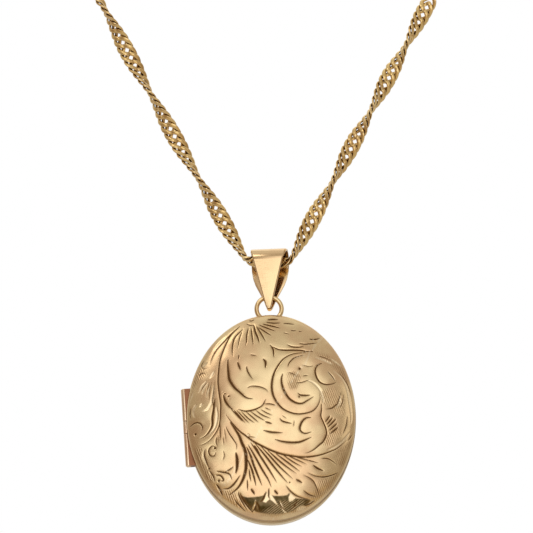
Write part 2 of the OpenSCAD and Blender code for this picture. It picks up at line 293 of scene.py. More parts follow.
# Painted shade: the crevice darkening reaches 1.4 mm, so the inside of the bail is painted dark.
BAIL = gold("bail_gold", (0.87, 0.65, 0.375), (0.82, 0.575, 0.33), roughness=0.17, scratches=0.8,
            crevice_shade=0.85, reach=1.4)
WIRE = gold("wire_gold", (0.93, 0.73, 0.42), (0.82, 0.58, 0.30), roughness=0.10, scratches=0.6, crevice_shade=0.9)
CHAIN = gold("chain_gold", YELLOW_GOLD, OCHRE_GOLD, roughness=0.24, scratches=0.4, crevice_shade=1.0, reach=0.6)
HINGE = gold("hinge_gold", ROSE_GOLD, COPPER_GOLD, roughness=0.22, scratches=0.6, crevice_shade=0.8)
# Painted shade: the hinge leaves are gold painted dark brown, for the shade in the gap between the barrel and
# the body.
SHADED_LEAF = gold("hinge_leaf_shaded_gold", (0.34, 0.15, 0.08), (0.20, 0.08, 0.035), roughness=0.35, scratches=0.4,
            crevice_shade=0.8, worn=0.0)
FRAME = gold("frame_gold", YELLOW_GOLD, CREAM_GOLD, roughness=0.3, scratches=0.3, crevice_shade=0.4, reach=0.3)
WINDOW = clear_sheet("clear_window")
CARD = card("picture_card")


def wear(node, material):
    """Puts the material on a CAD node."""
    slots = frame["nodes"][node].data.materials
    slots.clear()
    slots.append(material)


# the record's slots; the ring's wire is of the bail's slot
SLOT_MATERIALS = {"engraved_gold": ENGRAVED, "plain_gold": PLAIN, "bail_gold": BAIL, "chain_gold": CHAIN,
                  "hinge_gold": HINGE, "frame_gold": FRAME, "clear_window": WINDOW, "picture_card": CARD}
SLOT_OF = {material: slot for slot, material in SLOT_MATERIALS.items()}
SLOT_OF[WIRE] = "bail_gold"

for part in frame["record"]["subparts"]:
    wear(part["node"], SLOT_MATERIALS[part["material_slot"]])


# ---------------------------------------------------------------- mesh helpers
def in_body(points):
    """Points in the body's own frame, in mm, to the row frame, in metres."""
    return (np.asarray(points, float) + (BODY_X, SEAM_Y, BODY_Z)) * MM


def in_hinge(points):
    """Points in the hinge's frame to the body's frame; there the oval's edge touches x = -OVAL_A at z = 0."""
    p = np.asarray(points, float)
    c, s = math.cos(HINGE_TILT), math.sin(HINGE_TILT)
    x = p[:, 0] + OVAL_A
    return np.stack([x * c - p[:, 2] * s - OVAL_A * math.cos(HINGE_TURN), p[:, 1],
                     x * s + p[:, 2] * c - HINGE_LOW], 1)


def add_piece(name, verts, faces, material, body, replaces=(), sharp=None, attributes=None):
    """A closed mesh from points in metres, riding on its body. Edges over sharp degrees stay crisp."""
    mesh = bpy.data.meshes.new(name)
    mesh.from_pydata(np.asarray(verts).tolist(), [], faces)
    for key, values in (attributes or {}).items():
        mesh.attributes.new(key, "FLOAT", "POINT").data.foreach_set("value", values.astype(np.float32))
    bm = bmesh.new()
    bm.from_mesh(mesh)
    bmesh.ops.remove_doubles(bm, verts=bm.verts, dist=1e-8)
    bmesh.ops.recalc_face_normals(bm, faces=bm.faces)
    bm.to_mesh(mesh)
    bm.free()
    mesh.polygons.foreach_set("use_smooth", [True] * len(mesh.polygons))
    if sharp:
        mesh.set_sharp_from_angle(angle=math.radians(sharp))
    mesh.materials.append(material)
    piece = bpy.data.objects.new(name, mesh)
    bpy.context.scene.collection.objects.link(piece)
    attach(piece, body)
    if replaces:
        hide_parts(*replaces)
    return piece


def grid_faces(rows, columns, wrap_rows=False, wrap_columns=True, start=0):
    """Quads between rows of columns points each."""
    faces = []
    for i in range(rows if wrap_rows else rows - 1):
        a, b = start + i * columns, start + (i + 1) % rows * columns
        for j in range(columns if wrap_columns else columns - 1):
            k = (j + 1) % columns
            faces.append((a + j, a + k, b + k, b + j))
    return faces


def rounded(corners, radius, steps=3):
    """A closed outline with its corners rounded; radius is one number, or one for each corner."""
    count = len(corners)
    radii = radius if isinstance(radius, (list, tuple)) else [radius] * count
    line = []
    for i in range(count):
        before, here, after = (np.array(corners[(i + k) % count], float) for k in (-1, 0, 1))
        if radii[i] <= 0:
            line.append(here)
            continue
        back, ahead = before - here, after - here
        back *= min(radii[i] / np.linalg.norm(back), 0.48)
        ahead *= min(radii[i] / np.linalg.norm(ahead), 0.48)
        for t in np.linspace(0, 1, steps + 1):
            line.append(here + back * (1 - t) ** 2 + ahead * t ** 2)
    return line


def oval_turned(profile, steps=240):
    """A closed profile of (r, h) carried round the oval; h is the height from the seam towards the front."""
    turn = np.linspace(0, 2 * math.pi, steps, endpoint=False)
    r, h = np.array(profile).T
    points = np.stack([np.outer(np.cos(turn), r), np.tile(-h, (steps, 1)),
                       np.outer(np.sin(turn), r) * STRETCH], 2).reshape(-1, 3)
    return in_body(points), grid_faces(steps, len(r), wrap_rows=True)


def oval_band(profile, steps=300):
    """The same, but left open between the two planes that bound the hinge leaves."""
    turn = np.linspace(-0.9, 0.9, 2001) * math.pi / 4 + math.pi
    starts, ends = [], []
    for r, _ in profile:
        x, z = r * np.cos(turn), r * STRETCH * np.sin(turn)
        out = x + OVAL_A * math.cos(HINGE_TURN), z + HINGE_LOW
        height = -out[0] * math.sin(HINGE_TILT) + out[1] * math.cos(HINGE_TILT)
        starts.append(np.interp(HINGE_HALF, -height, turn) - 2 * math.pi)
        ends.append(np.interp(-HINGE_HALF, -height, turn))
    share = np.linspace(0, 1, steps)[:, None]
    spin = np.array(starts)[None] * (1 - share) + np.array(ends)[None] * share
    r, h = np.array(profile).T
    points = np.stack([np.cos(spin) * r, np.tile(-h, (steps, 1)), np.sin(spin) * r * STRETCH], 2)
    faces = grid_faces(steps, len(r))
    faces += [tuple(range(len(r))), tuple(range((steps - 1) * len(r), steps * len(r)))]
    return in_body(points.reshape(-1, 3)), faces


def oval_piece(name, profile, material, half, replaces, sharp=60, carry=oval_turned):
    """A closed profile carried round the oval, as a piece of one half."""
    verts, faces = carry(profile)
    add_piece(name, verts, faces, material, half + "_half", [replaces], sharp=sharp)


def turned(profile, steps=48):
    """A closed profile of (r, z) turned round the z axis through the origin."""
    turn = np.linspace(0, 2 * math.pi, steps, endpoint=False)
    r, z = np.array(profile).T
    points = np.stack([np.outer(np.cos(turn), r), np.outer(np.sin(turn), r), np.tile(z, (steps, 1))], 2)
    return points.reshape(-1, 3), grid_faces(steps, len(r), wrap_rows=True)


def tube(points, radii, sides=14, closed=False):
    """A round tube along points in the XZ plane; radii is one number, or one for each point."""
    line = np.asarray(points, float)
    ahead = np.roll(line, -1, 0) - np.roll(line, 1, 0)
    if not closed:
        ahead[0], ahead[-1] = line[1] - line[0], line[-1] - line[-2]
    ahead /= np.linalg.norm(ahead, axis=1)[:, None]
    side = np.cross(ahead, (0, 1, 0))
    side /= np.linalg.norm(side, axis=1)[:, None]
    lift = np.cross(side, ahead)
    turn = np.linspace(0, 2 * math.pi, sides, endpoint=False)
    r = np.asarray(radii, float)[:, None, None] if np.ndim(radii) else radii
    ring = side[:, None] * np.cos(turn)[None, :, None] + lift[:, None] * np.sin(turn)[None, :, None]
    verts = (line[:, None] + ring * r).reshape(-1, 3)
    faces = grid_faces(len(line), sides, wrap_rows=closed)
    if not closed:
        faces += [tuple(range(sides)), tuple(range((len(line) - 1) * sides, len(line) * sides))]
    return verts, faces


def smooth_line(points, step):
    """A smooth line through given points, with about one point for each step."""
    p = np.asarray(points, float)
    if len(p) == 2:
        count = max(2, int(np.linalg.norm(p[1] - p[0]) / step) + 1)
        return p[0] + (p[1] - p[0]) * np.linspace(0, 1, count)[:, None]
    ends = np.vstack([2 * p[0] - p[1], p, 2 * p[-1] - p[-2]])
    line = []
    for i in range(1, len(ends) - 2):
        a, b, c, d = ends[i - 1:i + 3]
        count = max(2, int(np.linalg.norm(c - b) / step) + 1)
        t = np.linspace(0, 1, count, endpoint=False)[:, None]
        line.append(0.5 * (2 * b + (c - a) * t + (2 * a - 5 * b + 4 * c - d) * t ** 2
                           + (3 * b - a - 3 * c + d) * t ** 3))
    line.append(p[-1:])
    return np.vstack(line)


# ---------------------------------------------------------------- the chain
BEND = [(-4.1, 1.2), (-3.45, 0.4), (-2.4, 0.0), (0, -0.05), (2.4, 0.0), (3.25, 0.4), (3.8, 1.2)]
LEFT_RUN, LEFT_H = np.array([-0.535, 1.0]), 44.1
RIGHT_RUN, RIGHT_H = np.array([0.511, 1.0]), 43.5
STRAND_POINTS, LEFT_BOW = 9, 0.3
left_top = np.array(BEND[0]) + LEFT_RUN * LEFT_H
right_top = np.array(BEND[-1]) + RIGHT_RUN * RIGHT_H
route = [left_top]
for i in range(STRAND_POINTS - 1, 0, -1):
    sag = LEFT_BOW * math.sin(math.pi * i / STRAND_POINTS)
    route.append(np.array(BEND[0]) + LEFT_RUN * LEFT_H * i / STRAND_POINTS - np.array([0.88, 0.47]) * sag)
route += [np.array(p) for p in BEND]
route += [np.array(BEND[-1]) + RIGHT_RUN * RIGHT_H * i / STRAND_POINTS for i in range(1, STRAND_POINTS + 1)]
route = np.array(route)
route = np.stack([route[:, 0], np.zeros(len(route)), route[:, 1]], 1)

CHAIN_WIDTH = 2.6
LINK_PITCH, LINK_A, LINK_B, LINK_C = 1.47, 1.5, 1.04, 0.56
LINK_WIDE, LINK_DEEP, LINK_TURN = 0.34, 0.19, math.radians(60)
# distances along the chain, from its left end, where the twisted ribbon turns its edge to the front,
# and the lengths of half a turn before the first of them and after the last
EDGE_ON = [5.4, 20.8, 36.7, 51.6, 58.9, 72.7, 85.7, 97.9]
FIRST_TWIST, LAST_TWIST = 15.4, 12.6


def neck_chain():
    """Flattened curb links, each twisted and linked through the next two, on a ribbon that twists as well."""
    line = smooth_line(route[:, [0, 2]], 0.1)
    gone = np.concatenate([[0], np.cumsum(np.linalg.norm(np.diff(line, axis=0), axis=1))])
    total = gone[-1]
    links = int((total - 2 * (LINK_A + LINK_WIDE)) // LINK_PITCH) + 1
    first = (total - (links - 1) * LINK_PITCH) / 2
    turn = np.linspace(0, 2 * math.pi, 48, endpoint=False)
    twist = LINK_TURN * np.cos(turn)
    centre = np.stack([LINK_A * np.cos(turn), LINK_B * np.sin(turn) * np.cos(twist),
                       LINK_C * np.sin(turn) * np.sin(twist)], 1)
    ahead = np.roll(centre, -1, 0) - np.roll(centre, 1, 0)
    ahead /= np.linalg.norm(ahead, axis=1)[:, None]
    side = np.cross(ahead, (0, 0, 1))
    side /= np.linalg.norm(side, axis=1)[:, None]
    lift = np.cross(side, ahead)
    sides = 10
    around = np.linspace(0, 2 * math.pi, sides, endpoint=False)
    link = (centre[:, None] + LINK_WIDE * side[:, None] * np.cos(around)[None, :, None]
            + LINK_DEEP * lift[:, None] * np.sin(around)[None, :, None]).reshape(-1, 3)
    link[:, 1] = np.clip(link[:, 1], -CHAIN_WIDTH / 2, CHAIN_WIDTH / 2)
    link_faces = np.array(grid_faces(len(turn), sides, wrap_rows=True))
    edge_turns = (np.arange(len(EDGE_ON)) + 0.5) * math.pi
    verts, faces = [], []
    for i in range(links):
        s = first + i * LINK_PITCH + link[:, 0]
        lag = np.interp(s, EDGE_ON, edge_turns)
        lag += np.where(s < EDGE_ON[0], (s - EDGE_ON[0]) * math.pi / FIRST_TWIST, 0)
        lag += np.where(s > EDGE_ON[-1], (s - EDGE_ON[-1]) * math.pi / LAST_TWIST, 0)
        x, z = np.interp(s, gone, line[:, 0]), np.interp(s, gone, line[:, 1])
        dx = np.interp(s + 0.2, gone, line[:, 0]) - np.interp(s - 0.2, gone, line[:, 0])
        dz = np.interp(s + 0.2, gone, line[:, 1]) - np.interp(s - 0.2, gone, line[:, 1])
        size = np.hypot(dx, dz)
        dx, dz = dx / size, dz / size
        across = link[:, 1] * np.cos(lag) - link[:, 2] * np.sin(lag)
        depth = link[:, 1] * np.sin(lag) + link[:, 2] * np.cos(lag)
        faces.append(link_faces + len(verts) * len(link))
        verts.append(np.stack([x - dz * across, depth, z + dx * across], 1))
    piece = add_piece("twisted_curb_chain", np.vstack(verts) * MM, np.vstack(faces).tolist(), CHAIN, "chain",
                      ["neck_chain"], sharp=38)
    return piece


LOOP_R, LOOP_WIRE = 0.8, 0.25
BOLT_R, BOLT_TUBE, BOLT_BORE, BOLT_WIRE = 2.1, 0.55, 0.36, 0.3
# angles round the bolt ring, in degrees: its gap, the knob, and the knob's slot counted from the gap's end
GAP_FROM, GAP, KNOB_AT, SLOT_FROM, SLOT_LONG = 100, 60, 204, 38.5, 72
END_BORE, END_SECTION = 1.25, 0.6
left_dir = LEFT_RUN / np.linalg.norm(LEFT_RUN)
right_dir = RIGHT_RUN / np.linalg.norm(RIGHT_RUN)
loop_at = left_top + left_dir * (LOOP_R + LOOP_WIRE + 0.03)
bolt_at = loop_at + left_dir * (LOOP_R + BOLT_R + BOLT_TUBE)
end_at = right_top + right_dir * (END_BORE + END_SECTION + 0.03)


def arc(at, r, start, end, steps):
    turn = np.radians(np.linspace(start, end, steps, endpoint=abs(end - start) < 360))
    return np.stack([at[0] + r * np.cos(turn), np.zeros(steps), at[1] + r * np.sin(turn)], 1)


def rounded_rod(line, radius, cap):
    """Radii along a rod whose ends are domed over the length cap."""
    gone = np.concatenate([[0], np.cumsum(np.linalg.norm(np.diff(line, axis=0), axis=1))])
    near = np.minimum(gone, gone[-1] - gone) / cap
    return radius * np.sqrt(1 - (1 - np.clip(near, 0.02, 1)) ** 2)


def clasp_pieces():
    """The bolt ring with its loop, its sliding bolt with a thumb knob, and the end ring."""
    made = []
    verts, faces = tube(arc(loop_at, LOOP_R, 0, 360, 48), LOOP_WIRE, closed=True)
    made.append(add_piece("bolt_loop", verts * MM, faces, CHAIN, "chain", ["bolt_ring_loop"]))
    line = arc(bolt_at, BOLT_R, GAP_FROM - 7, GAP_FROM + GAP + 48, 60)
    verts, faces = tube(line, rounded_rod(line, BOLT_WIRE, 0.3), sides=20)
    bolt = add_piece("sliding_bolt", verts * MM, faces, CHAIN, "clasp_bolt", ["bolt_ring_bolt"])
    knob_at = bolt_at + BOLT_R * np.array([math.cos(math.radians(KNOB_AT)), math.sin(math.radians(KNOB_AT))])
    out = (knob_at - bolt_at) / BOLT_R
    reach = (0.1, 0.3, 0.6, 0.66, 0.8, 0.9, 0.95)
    stem = np.array([[knob_at[0] + out[0] * d, 0, knob_at[1] + out[1] * d] for d in reach])
    verts, faces = tube(stem, [0.14, 0.14, 0.14, 0.2, 0.22, 0.17, 0.06], sides=16)
    made += [bolt, add_piece("bolt_knob", verts * MM, faces, CHAIN, "clasp_bolt")]
    made.append(bolt_case())
    section = rounded([(END_BORE, -0.3), (END_BORE + END_SECTION, -0.3), (END_BORE + END_SECTION, 0.3),
                       (END_BORE, 0.3)], [0.06, 0.28, 0.28, 0.06], 4)
    points, faces = turned(section, 64)
    verts = np.stack([points[:, 0] + end_at[0], points[:, 2], points[:, 1] + end_at[1]], 1)
    made.append(add_piece("chain_end_ring", verts * MM, faces, CHAIN, "chain", ["end_ring"]))
    return made


def bolt_case():
    """The bolt ring's hollow tube: outer skin, bore, rolled lips at both mouths and the knob's slot."""
    start, end, sides = GAP_FROM + GAP, GAP_FROM + 360, 24
    slot_start, slot_end = start + SLOT_FROM, start + SLOT_FROM + SLOT_LONG
    angles = [start, start + 2, *np.linspace(start + 5, slot_start, 12),
              *np.linspace(slot_start + 4, slot_end - 4, 22), *np.linspace(slot_end, end - 5, 34),
              end - 2, end]
    slot_half = math.degrees(math.asin(0.2 / BOLT_TUBE))
    verts, faces, rings = [], [], len(angles)
    turn = np.linspace(0, 360, sides, endpoint=False)
    turn[0], turn[1], turn[-1] = 0, slot_half, 360 - slot_half
    spin = np.radians(turn)
    for skin in (BOLT_TUBE, BOLT_BORE):
        for a in angles:
            lip = 0.05 if skin == BOLT_TUBE and (a in (start, end)) else 0.0
            r = BOLT_R + (skin - lip) * np.cos(spin)
            c, s = math.cos(math.radians(a)), math.sin(math.radians(a))
            verts.append(np.stack([bolt_at[0] + r * c, (skin - lip) * np.sin(spin), bolt_at[1] + r * s], 1))
    outer, inner = 0, rings * sides

    def opened(i, j):
        return slot_start - 0.1 <= angles[i] and angles[i + 1] <= slot_end + 0.1 and j in (0, sides - 1)

    for base in (outer, inner):
        for i in range(rings - 1):
            for j in range(sides):
                k = (j + 1) % sides
                if not opened(i, j):
                    faces.append((base + i * sides + j, base + i * sides + k,
                                  base + (i + 1) * sides + k, base + (i + 1) * sides + j))
    for i in (0, rings - 1):
        for j in range(sides):
            a, b = i * sides + j, i * sides + (j + 1) % sides
            faces.append((outer + a, outer + b, inner + b, inner + a))
    for i in range(rings - 1):
        if opened(i, 0):
            for j in (1, sides - 1):
                a, b = i * sides + j, (i + 1) * sides + j
                faces.append((outer + a, outer + b, inner + b, inner + a))
            for beside, mouth in ((i - 1, i), (i + 1, i + 1)):
                if not opened(beside, 0):
                    a = mouth * sides
                    faces += [(outer + a, outer + a + 1, inner + a + 1, inner + a),
                              (outer + a, outer + a + sides - 1, inner + a + sides - 1, inner + a)]
    return add_piece("bolt_case", np.vstack(verts) * MM, faces, CHAIN, "chain",
                     ["bolt_ring_case"], sharp=40)


clasp = clasp_pieces()
neck_chain()


# ---------------------------------------------------------------- the bail and the ring
# The bail has some play on the chain and has turned a little about the vertical.
BAIL_YAW = math.radians(-7)


def bail():
    """One bent strip with bevelled edges: straight front leaf, roll over the chain, fuller back leaf."""
    middle = EYE_R + BAIL_T / 2
    front_line = [(-0.56, -7.62), (-0.9, PIVOT_Z), (-1.32, -2.85), (-middle, 0)]
    back_line = [(middle, 0), (1.4, -2.85), (1.16, PIVOT_Z), (0.86, -6.9), (0.5, -7.62)]
    roll = [(middle * math.cos(t), middle * math.sin(t)) for t in np.linspace(math.pi, 0, 25)]
    side_view = np.vstack([smooth_line(front_line, 0.18)[:-1], roll, smooth_line(back_line, 0.18)[1:]])
    # half the strip's width at each height, for the two leaves
    front_half = [(-7.7, 0.2), (-7.55, 0.34), (-7.3, 0.46), (PIVOT_Z, 0.86), (0.4, 2.4), (1.9, 2.84),
                  (3, 2.85)]
    back_half = [(-7.7, 0.2), (-7.55, 0.34), (-7.3, 0.46), (-6.9, 0.6), (PIVOT_Z, 1.06), (-4.3, 1.8),
                 (-3.4, 2.25), (-2.4, 2.6), (-1.2, 2.82), (0, 2.9), (1.9, 2.85), (3, 2.85)]
    ahead = np.gradient(side_view, axis=0)
    ahead /= np.linalg.norm(ahead, axis=1)[:, None]
    outward = np.stack([-ahead[:, 1], ahead[:, 0]], 1)
    bevel, half_t = 0.11, BAIL_T / 2
    rings, columns = [], 0
    for (y, z), (ny, nz) in zip(side_view, outward):
        outline = front_half if y < 0 else back_half
        half = np.interp(z, [p[0] for p in outline], [p[1] for p in outline])
        b = min(bevel, half * 0.5)
        corners = [(-half, -half_t), (-half, half_t - b), (-half + b * 1.3, half_t),
                   (half - b * 1.3, half_t), (half, half_t - b), (half, -half_t)]
        section = rounded(corners, 0.05, 2)
        section += [(x, -half_t) for x in np.linspace(half * 0.8, -half * 0.8, 5)]
        columns = len(section)
        rings.append([(x, y + ny * o, z + nz * o) for x, o in section])
    x, y, z = np.array(rings).reshape(-1, 3).T
    c, s = math.cos(BAIL_YAW), math.sin(BAIL_YAW)
    verts = np.stack([x * c - y * s, x * s + y * c, z], 1)
    faces = grid_faces(len(rings), columns)
    faces += [tuple(range(columns)), tuple(range((len(rings) - 1) * columns, len(rings) * columns))]
    return add_piece("bent_bail", verts * MM, faces, BAIL, "bail", ["bail"], sharp=30)


def suspension_ring():
    """Round wire whose two feet are soldered to the top of the back half, with a fillet at each foot."""
    foot = math.degrees(math.acos((RING_UP - OVAL_B) / RING_R)) - 6
    steps = 96
    line = arc((0, RING_Z), RING_R, -90 + foot, 270 - foot, steps)
    near = np.minimum(np.arange(steps), steps - 1 - np.arange(steps)) / (steps - 1)
    radii = RING_WIRE * (1 + 0.22 * np.clip(1 - near / 0.09, 0, 1) ** 2)
    verts, faces = tube(line, radii, sides=24)
    return add_piece("ring_wire", verts * MM, faces, WIRE, "back_half", ["suspension_ring"])


bail()
suspension_ring()


# ---------------------------------------------------------------- the engraving
# Cuts of the graver: the width, then the points (x, z), in mm from the oval's middle.
TOP_FAN = [
    (0.28, (-3.6, 14.4), (-4.6, 13.6), (-6, 12.3), (-7.4, 10.9), (-8.3, 9.4), (-8.7, 8.2)),
    (0.32, (-3.8, 14.2), (-5.2, 12.9), (-6.2, 11.2), (-7, 9.3), (-7.4, 7.5), (-7.65, 5.5), (-7.6, 3.6),
     (-7.5, 2), (-7.6, 0.9), (-7.75, -0.5), (-8.05, -1.6), (-8.7, -2.6), (-9.6, -3.5), (-10.6, -3.95),
     (-11.6, -4)), (0.3, (-3.2, 13.8), (-4.5, 12.6), (-4.95, 11.6), (-5.15, 10.4), (-5.1, 9.3)),
    (0.22, (-3.4, 13.4), (-3.9, 12.2), (-4.3, 10.5)),
    (0.3, (-2.4, 13.9), (-2.75, 12.8), (-2.9, 11.6), (-3.1, 10.9)),
    (0.3, (-2, 13.8), (-2, 12.6), (-1.9, 10.8)),
    (0.4, (-1.6, 14.3), (-1.45, 13), (-1.2, 12.2), (-0.95, 11.1)),
    (0.34, (-1.2, 14), (-0.7, 12.9), (0, 11.3)), (0.34, (-0.9, 13.8), (0.1, 12.9), (1, 12.2)),
    (0.36, (-0.8, 14.2), (0.3, 13.6), (1.7, 12.9)), (0.4, (-0.2, 14.3), (1, 13.9), (2.4, 13.4)),
    (0.36, (0.3, 14.6), (1.4, 14.35), (2.5, 14.3)), (0.3, (2.9, 14.15), (3.6, 14.15), (4.6, 13.95)),
    (0.42, (0.5, 14.95), (1.3, 15), (2.2, 14.9)), (0.3, (-2.7, 14.6), (-2.1, 14.3), (-1.5, 14.3)),
    (0.35, (-2.5, 15.4), (-2, 15.1), (-1.4, 15.2))]
UPPER_RIGHT_LEAF = [
    (0.26, (2.8, 12.6), (3.7, 12.3)), (0.3, (3.9, 12.9), (4.8, 12.85)), (0.26, (5.1, 12.7), (5.6, 12.7)),
    (0.34, (6.6, 11.4), (7.3, 11.3), (8.3, 11.5)), (0.34, (0.6, 10.8), (1, 10), (1.05, 9.4), (1.05, 8.6)),
    (0.42, (1, 10.4), (1.8, 9.9), (2.8, 9.7), (4, 9.65), (5.2, 9.55), (6, 9.35), (7, 9.3)),
    (0.34, (3.2, 10.6), (4, 10.2), (5, 10.1), (5.8, 10.25)),
    (0.3, (5, 10.75), (5.8, 10.55), (6.8, 10.6), (7.9, 10.75))]
UPPER_LEFT = [
    (0.26, (-2.5, 9.4), (-1.5, 9.1)), (0.42, (-0.6, 8.6), (-0.3, 8), (-0.35, 7)),
    (0.24, (-4.2, 9.6), (-4.3, 8.7)), (0.34, (-4.5, 8.4), (-4.3, 7.6), (-4.1, 7)),
    (0.28, (-3.2, 7.6), (-3.1, 6.8), (-2.7, 5.9), (-2.3, 5.3)),
    (0.5, (-5.9, 9), (-6, 8), (-6, 6.6), (-5.9, 5.6), (-5.3, 4.4), (-4.5, 3.5), (-3.6, 2.6), (-2.6, 2.3)),
    (0.3, (-3.3, 4.1), (-2.6, 4.3), (-1.4, 4.1), (-0.6, 3.7), (-0.2, 3.2)),
    (0.42, (-7, 3.4), (-6.8, 2.4), (-6.3, 1.5), (-5.7, 0.9)),
    (0.32, (-5, 0.9), (-4, 0.5), (-3, 0.5), (-2, 0.75), (-1.2, 1.2), (-0.6, 2.2)),
    (0.28, (-1, 1.4), (0, 1.3), (0.8, 1))]
MIDDLE_FAN = [
    (0.26, (-6, 1), (-5.2, 0), (-4.4, -1.1)), (0.26, (-5.6, 0.9), (-4.9, -0.1), (-4, -1.4)),
    (0.26, (-5.2, 0.8), (-4.2, -0.5), (-3.4, -1.5)), (0.26, (-4.5, 0.5), (-3.6, -0.6), (-2.6, -1.5)),
    (0.26, (-3.8, 0.4), (-2.9, -0.5), (-2, -1.5)), (0.26, (-3.1, 0.4), (-2.2, -0.4), (-1, -1.3)),
    (0.26, (-2.3, 0.5), (-1.4, -0.3), (-0.1, -1)), (0.24, (-1.6, 0.6), (-0.6, -0.1), (0.2, -0.5)),
    (0.22, (-0.9, 0.8), (0, 0.3)), (0.34, (-1, -1.4), (0, -1.8))]
LEFT_EDGE = [
    (0.3, (-12.3, -0.9), (-11.6, -0.5), (-10.9, -0.6), (-10.5, -1.2), (-10.6, -1.9)),
    (0.42, (-8.3, 3), (-8.6, 1.4), (-8.9, 0), (-9, -1.2), (-9.6, -2.2), (-10.3, -2.8), (-11, -3)),
    (0.3, (-10.4, -4.7), (-10.5, -5.6), (-10.2, -6.8), (-9.9, -7.7)),
    (0.28, (-8.7, -4.5), (-9.3, -4.4), (-9.8, -5), (-9.6, -5.8), (-9, -5.9), (-8.7, -5.3)),
    (0.3, (-8.8, -8.3), (-8, -8.5), (-7, -8.9), (-6.6, -9.8)),
    (0.3, (-9, -8.8), (-8.3, -9), (-7.9, -9.7), (-8.4, -9.8)),
    (0.34, (-8.1, -11), (-7.2, -11), (-6.3, -10.4), (-5.3, -9.2)),
    (0.4, (-9, -10.1), (-8.6, -10.9), (-8.2, -11.9)), (0.24, (-8.4, -3), (-8.6, -3.8), (-8.4, -4.6)),
    (0.24, (-7.9, -1.9), (-7.9, -2.8), (-8, -3.6))]
RIGHT_SCROLL = [
    (0.36, (6, 9.2), (4, 9.05), (2.6, 8.4), (1.6, 7.3), (0.8, 5.9), (0.4, 4.4), (0.4, 3), (0.8, 1.8),
     (1.6, 0.6), (2.6, -0.1), (3.8, -0.5), (5, -0.5), (6.2, -0.2), (7, 0.5), (7.5, 1.5), (7.55, 2.6)),
    (0.4, (2.2, 6), (1.9, 5), (2, 3.8), (2.4, 2.7), (3, 1.8), (3.9, 1.2), (4.8, 1.1), (5.6, 1.5),
     (6.6, 2.1)), (0.28, (3, 7), (3.4, 7.7), (4.2, 8.4), (5.2, 8.7), (5.7, 8.75)),
    (0.36, (4.3, 2.7), (4.6, 2.4), (5.4, 2.3), (6.1, 2.35)), (0.2, (4, 4.4), (5, 4.4), (6.2, 4.8)),
    (0.2, (5.2, 5.4), (6, 5.5)),
    (0.38, (8.3, 7.4), (7.5, 7), (7.1, 6.2), (7.2, 5.2), (7.7, 4.3), (8.6, 3.9), (9.6, 4), (10.2, 4.3))]
RIGHT_LOWER = [
    (0.3, (12.9, -1), (12.6, -2.4), (12, -3.8), (11.2, -4.9)),
    (0.34, (7.7, 1), (7.6, 0), (7.4, -1), (7.7, -2), (8, -3), (8, -3.9), (7.5, -4.9), (6.9, -5.4),
     (6, -6.1), (5.2, -6.5), (4.7, -6.6)),
    (0.36, (6, -1.15), (5.2, -1.2), (4.5, -1.8), (4.1, -2.7), (4.3, -3.3), (4.9, -3.6), (5.9, -3.4)),
    (0.4, (0.2, -4.2), (1.2, -4.6), (2.4, -4.85), (3.8, -4.9), (4.8, -4.6), (5.8, -4.2)),
    (0.36, (-1.4, -2.7), (-0.4, -3.05), (0.6, -3.2), (1.6, -3.3)),
    (0.32, (1.2, -1), (1.6, -1.5), (2.4, -1.8), (3, -1.95)), (0.3, (8.8, -1), (8, -2)),
    (0.3, (9.2, -1.3), (8.2, -2.4)), (0.3, (9.7, -1.5), (8.3, -2.8)), (0.3, (9.8, -2.2), (8.5, -3.3)),
    (0.3, (9.9, -2.8), (8.6, -3.8)), (0.26, (9.9, 0.8), (9.2, 0.2), (8.3, 0))]
MAIN_SWEEPS = [
    (0.36, (-6.9, 0.3), (-6, -1.1), (-5, -2.5), (-4, -3.4), (-3, -4.3), (-1.8, -5.1), (-0.8, -5.7),
     (0.2, -6.2), (1.2, -6.6), (2.4, -6.9), (3.8, -7.15), (5.2, -7.2), (6.8, -7), (8.2, -6.6), (9.4, -6.1),
     (10.3, -5.4), (11, -4.8)),
    (0.52, (-6.3, -1), (-5.6, -2.2), (-5.1, -3.2), (-4.75, -4.4), (-4.35, -5.6), (-4.3, -7), (-4.45, -8.4),
     (-4.9, -9.7), (-5.6, -10.8), (-6.4, -11.5), (-7.2, -12)),
    (0.5, (-5.75, -5.7), (-5.65, -6.8), (-5.75, -8), (-6, -8.9)),
    (0.26, (-7, -1.5), (-6.6, -2.6), (-6, -3.7), (-5.6, -4.5), (-5.65, -5.4))]
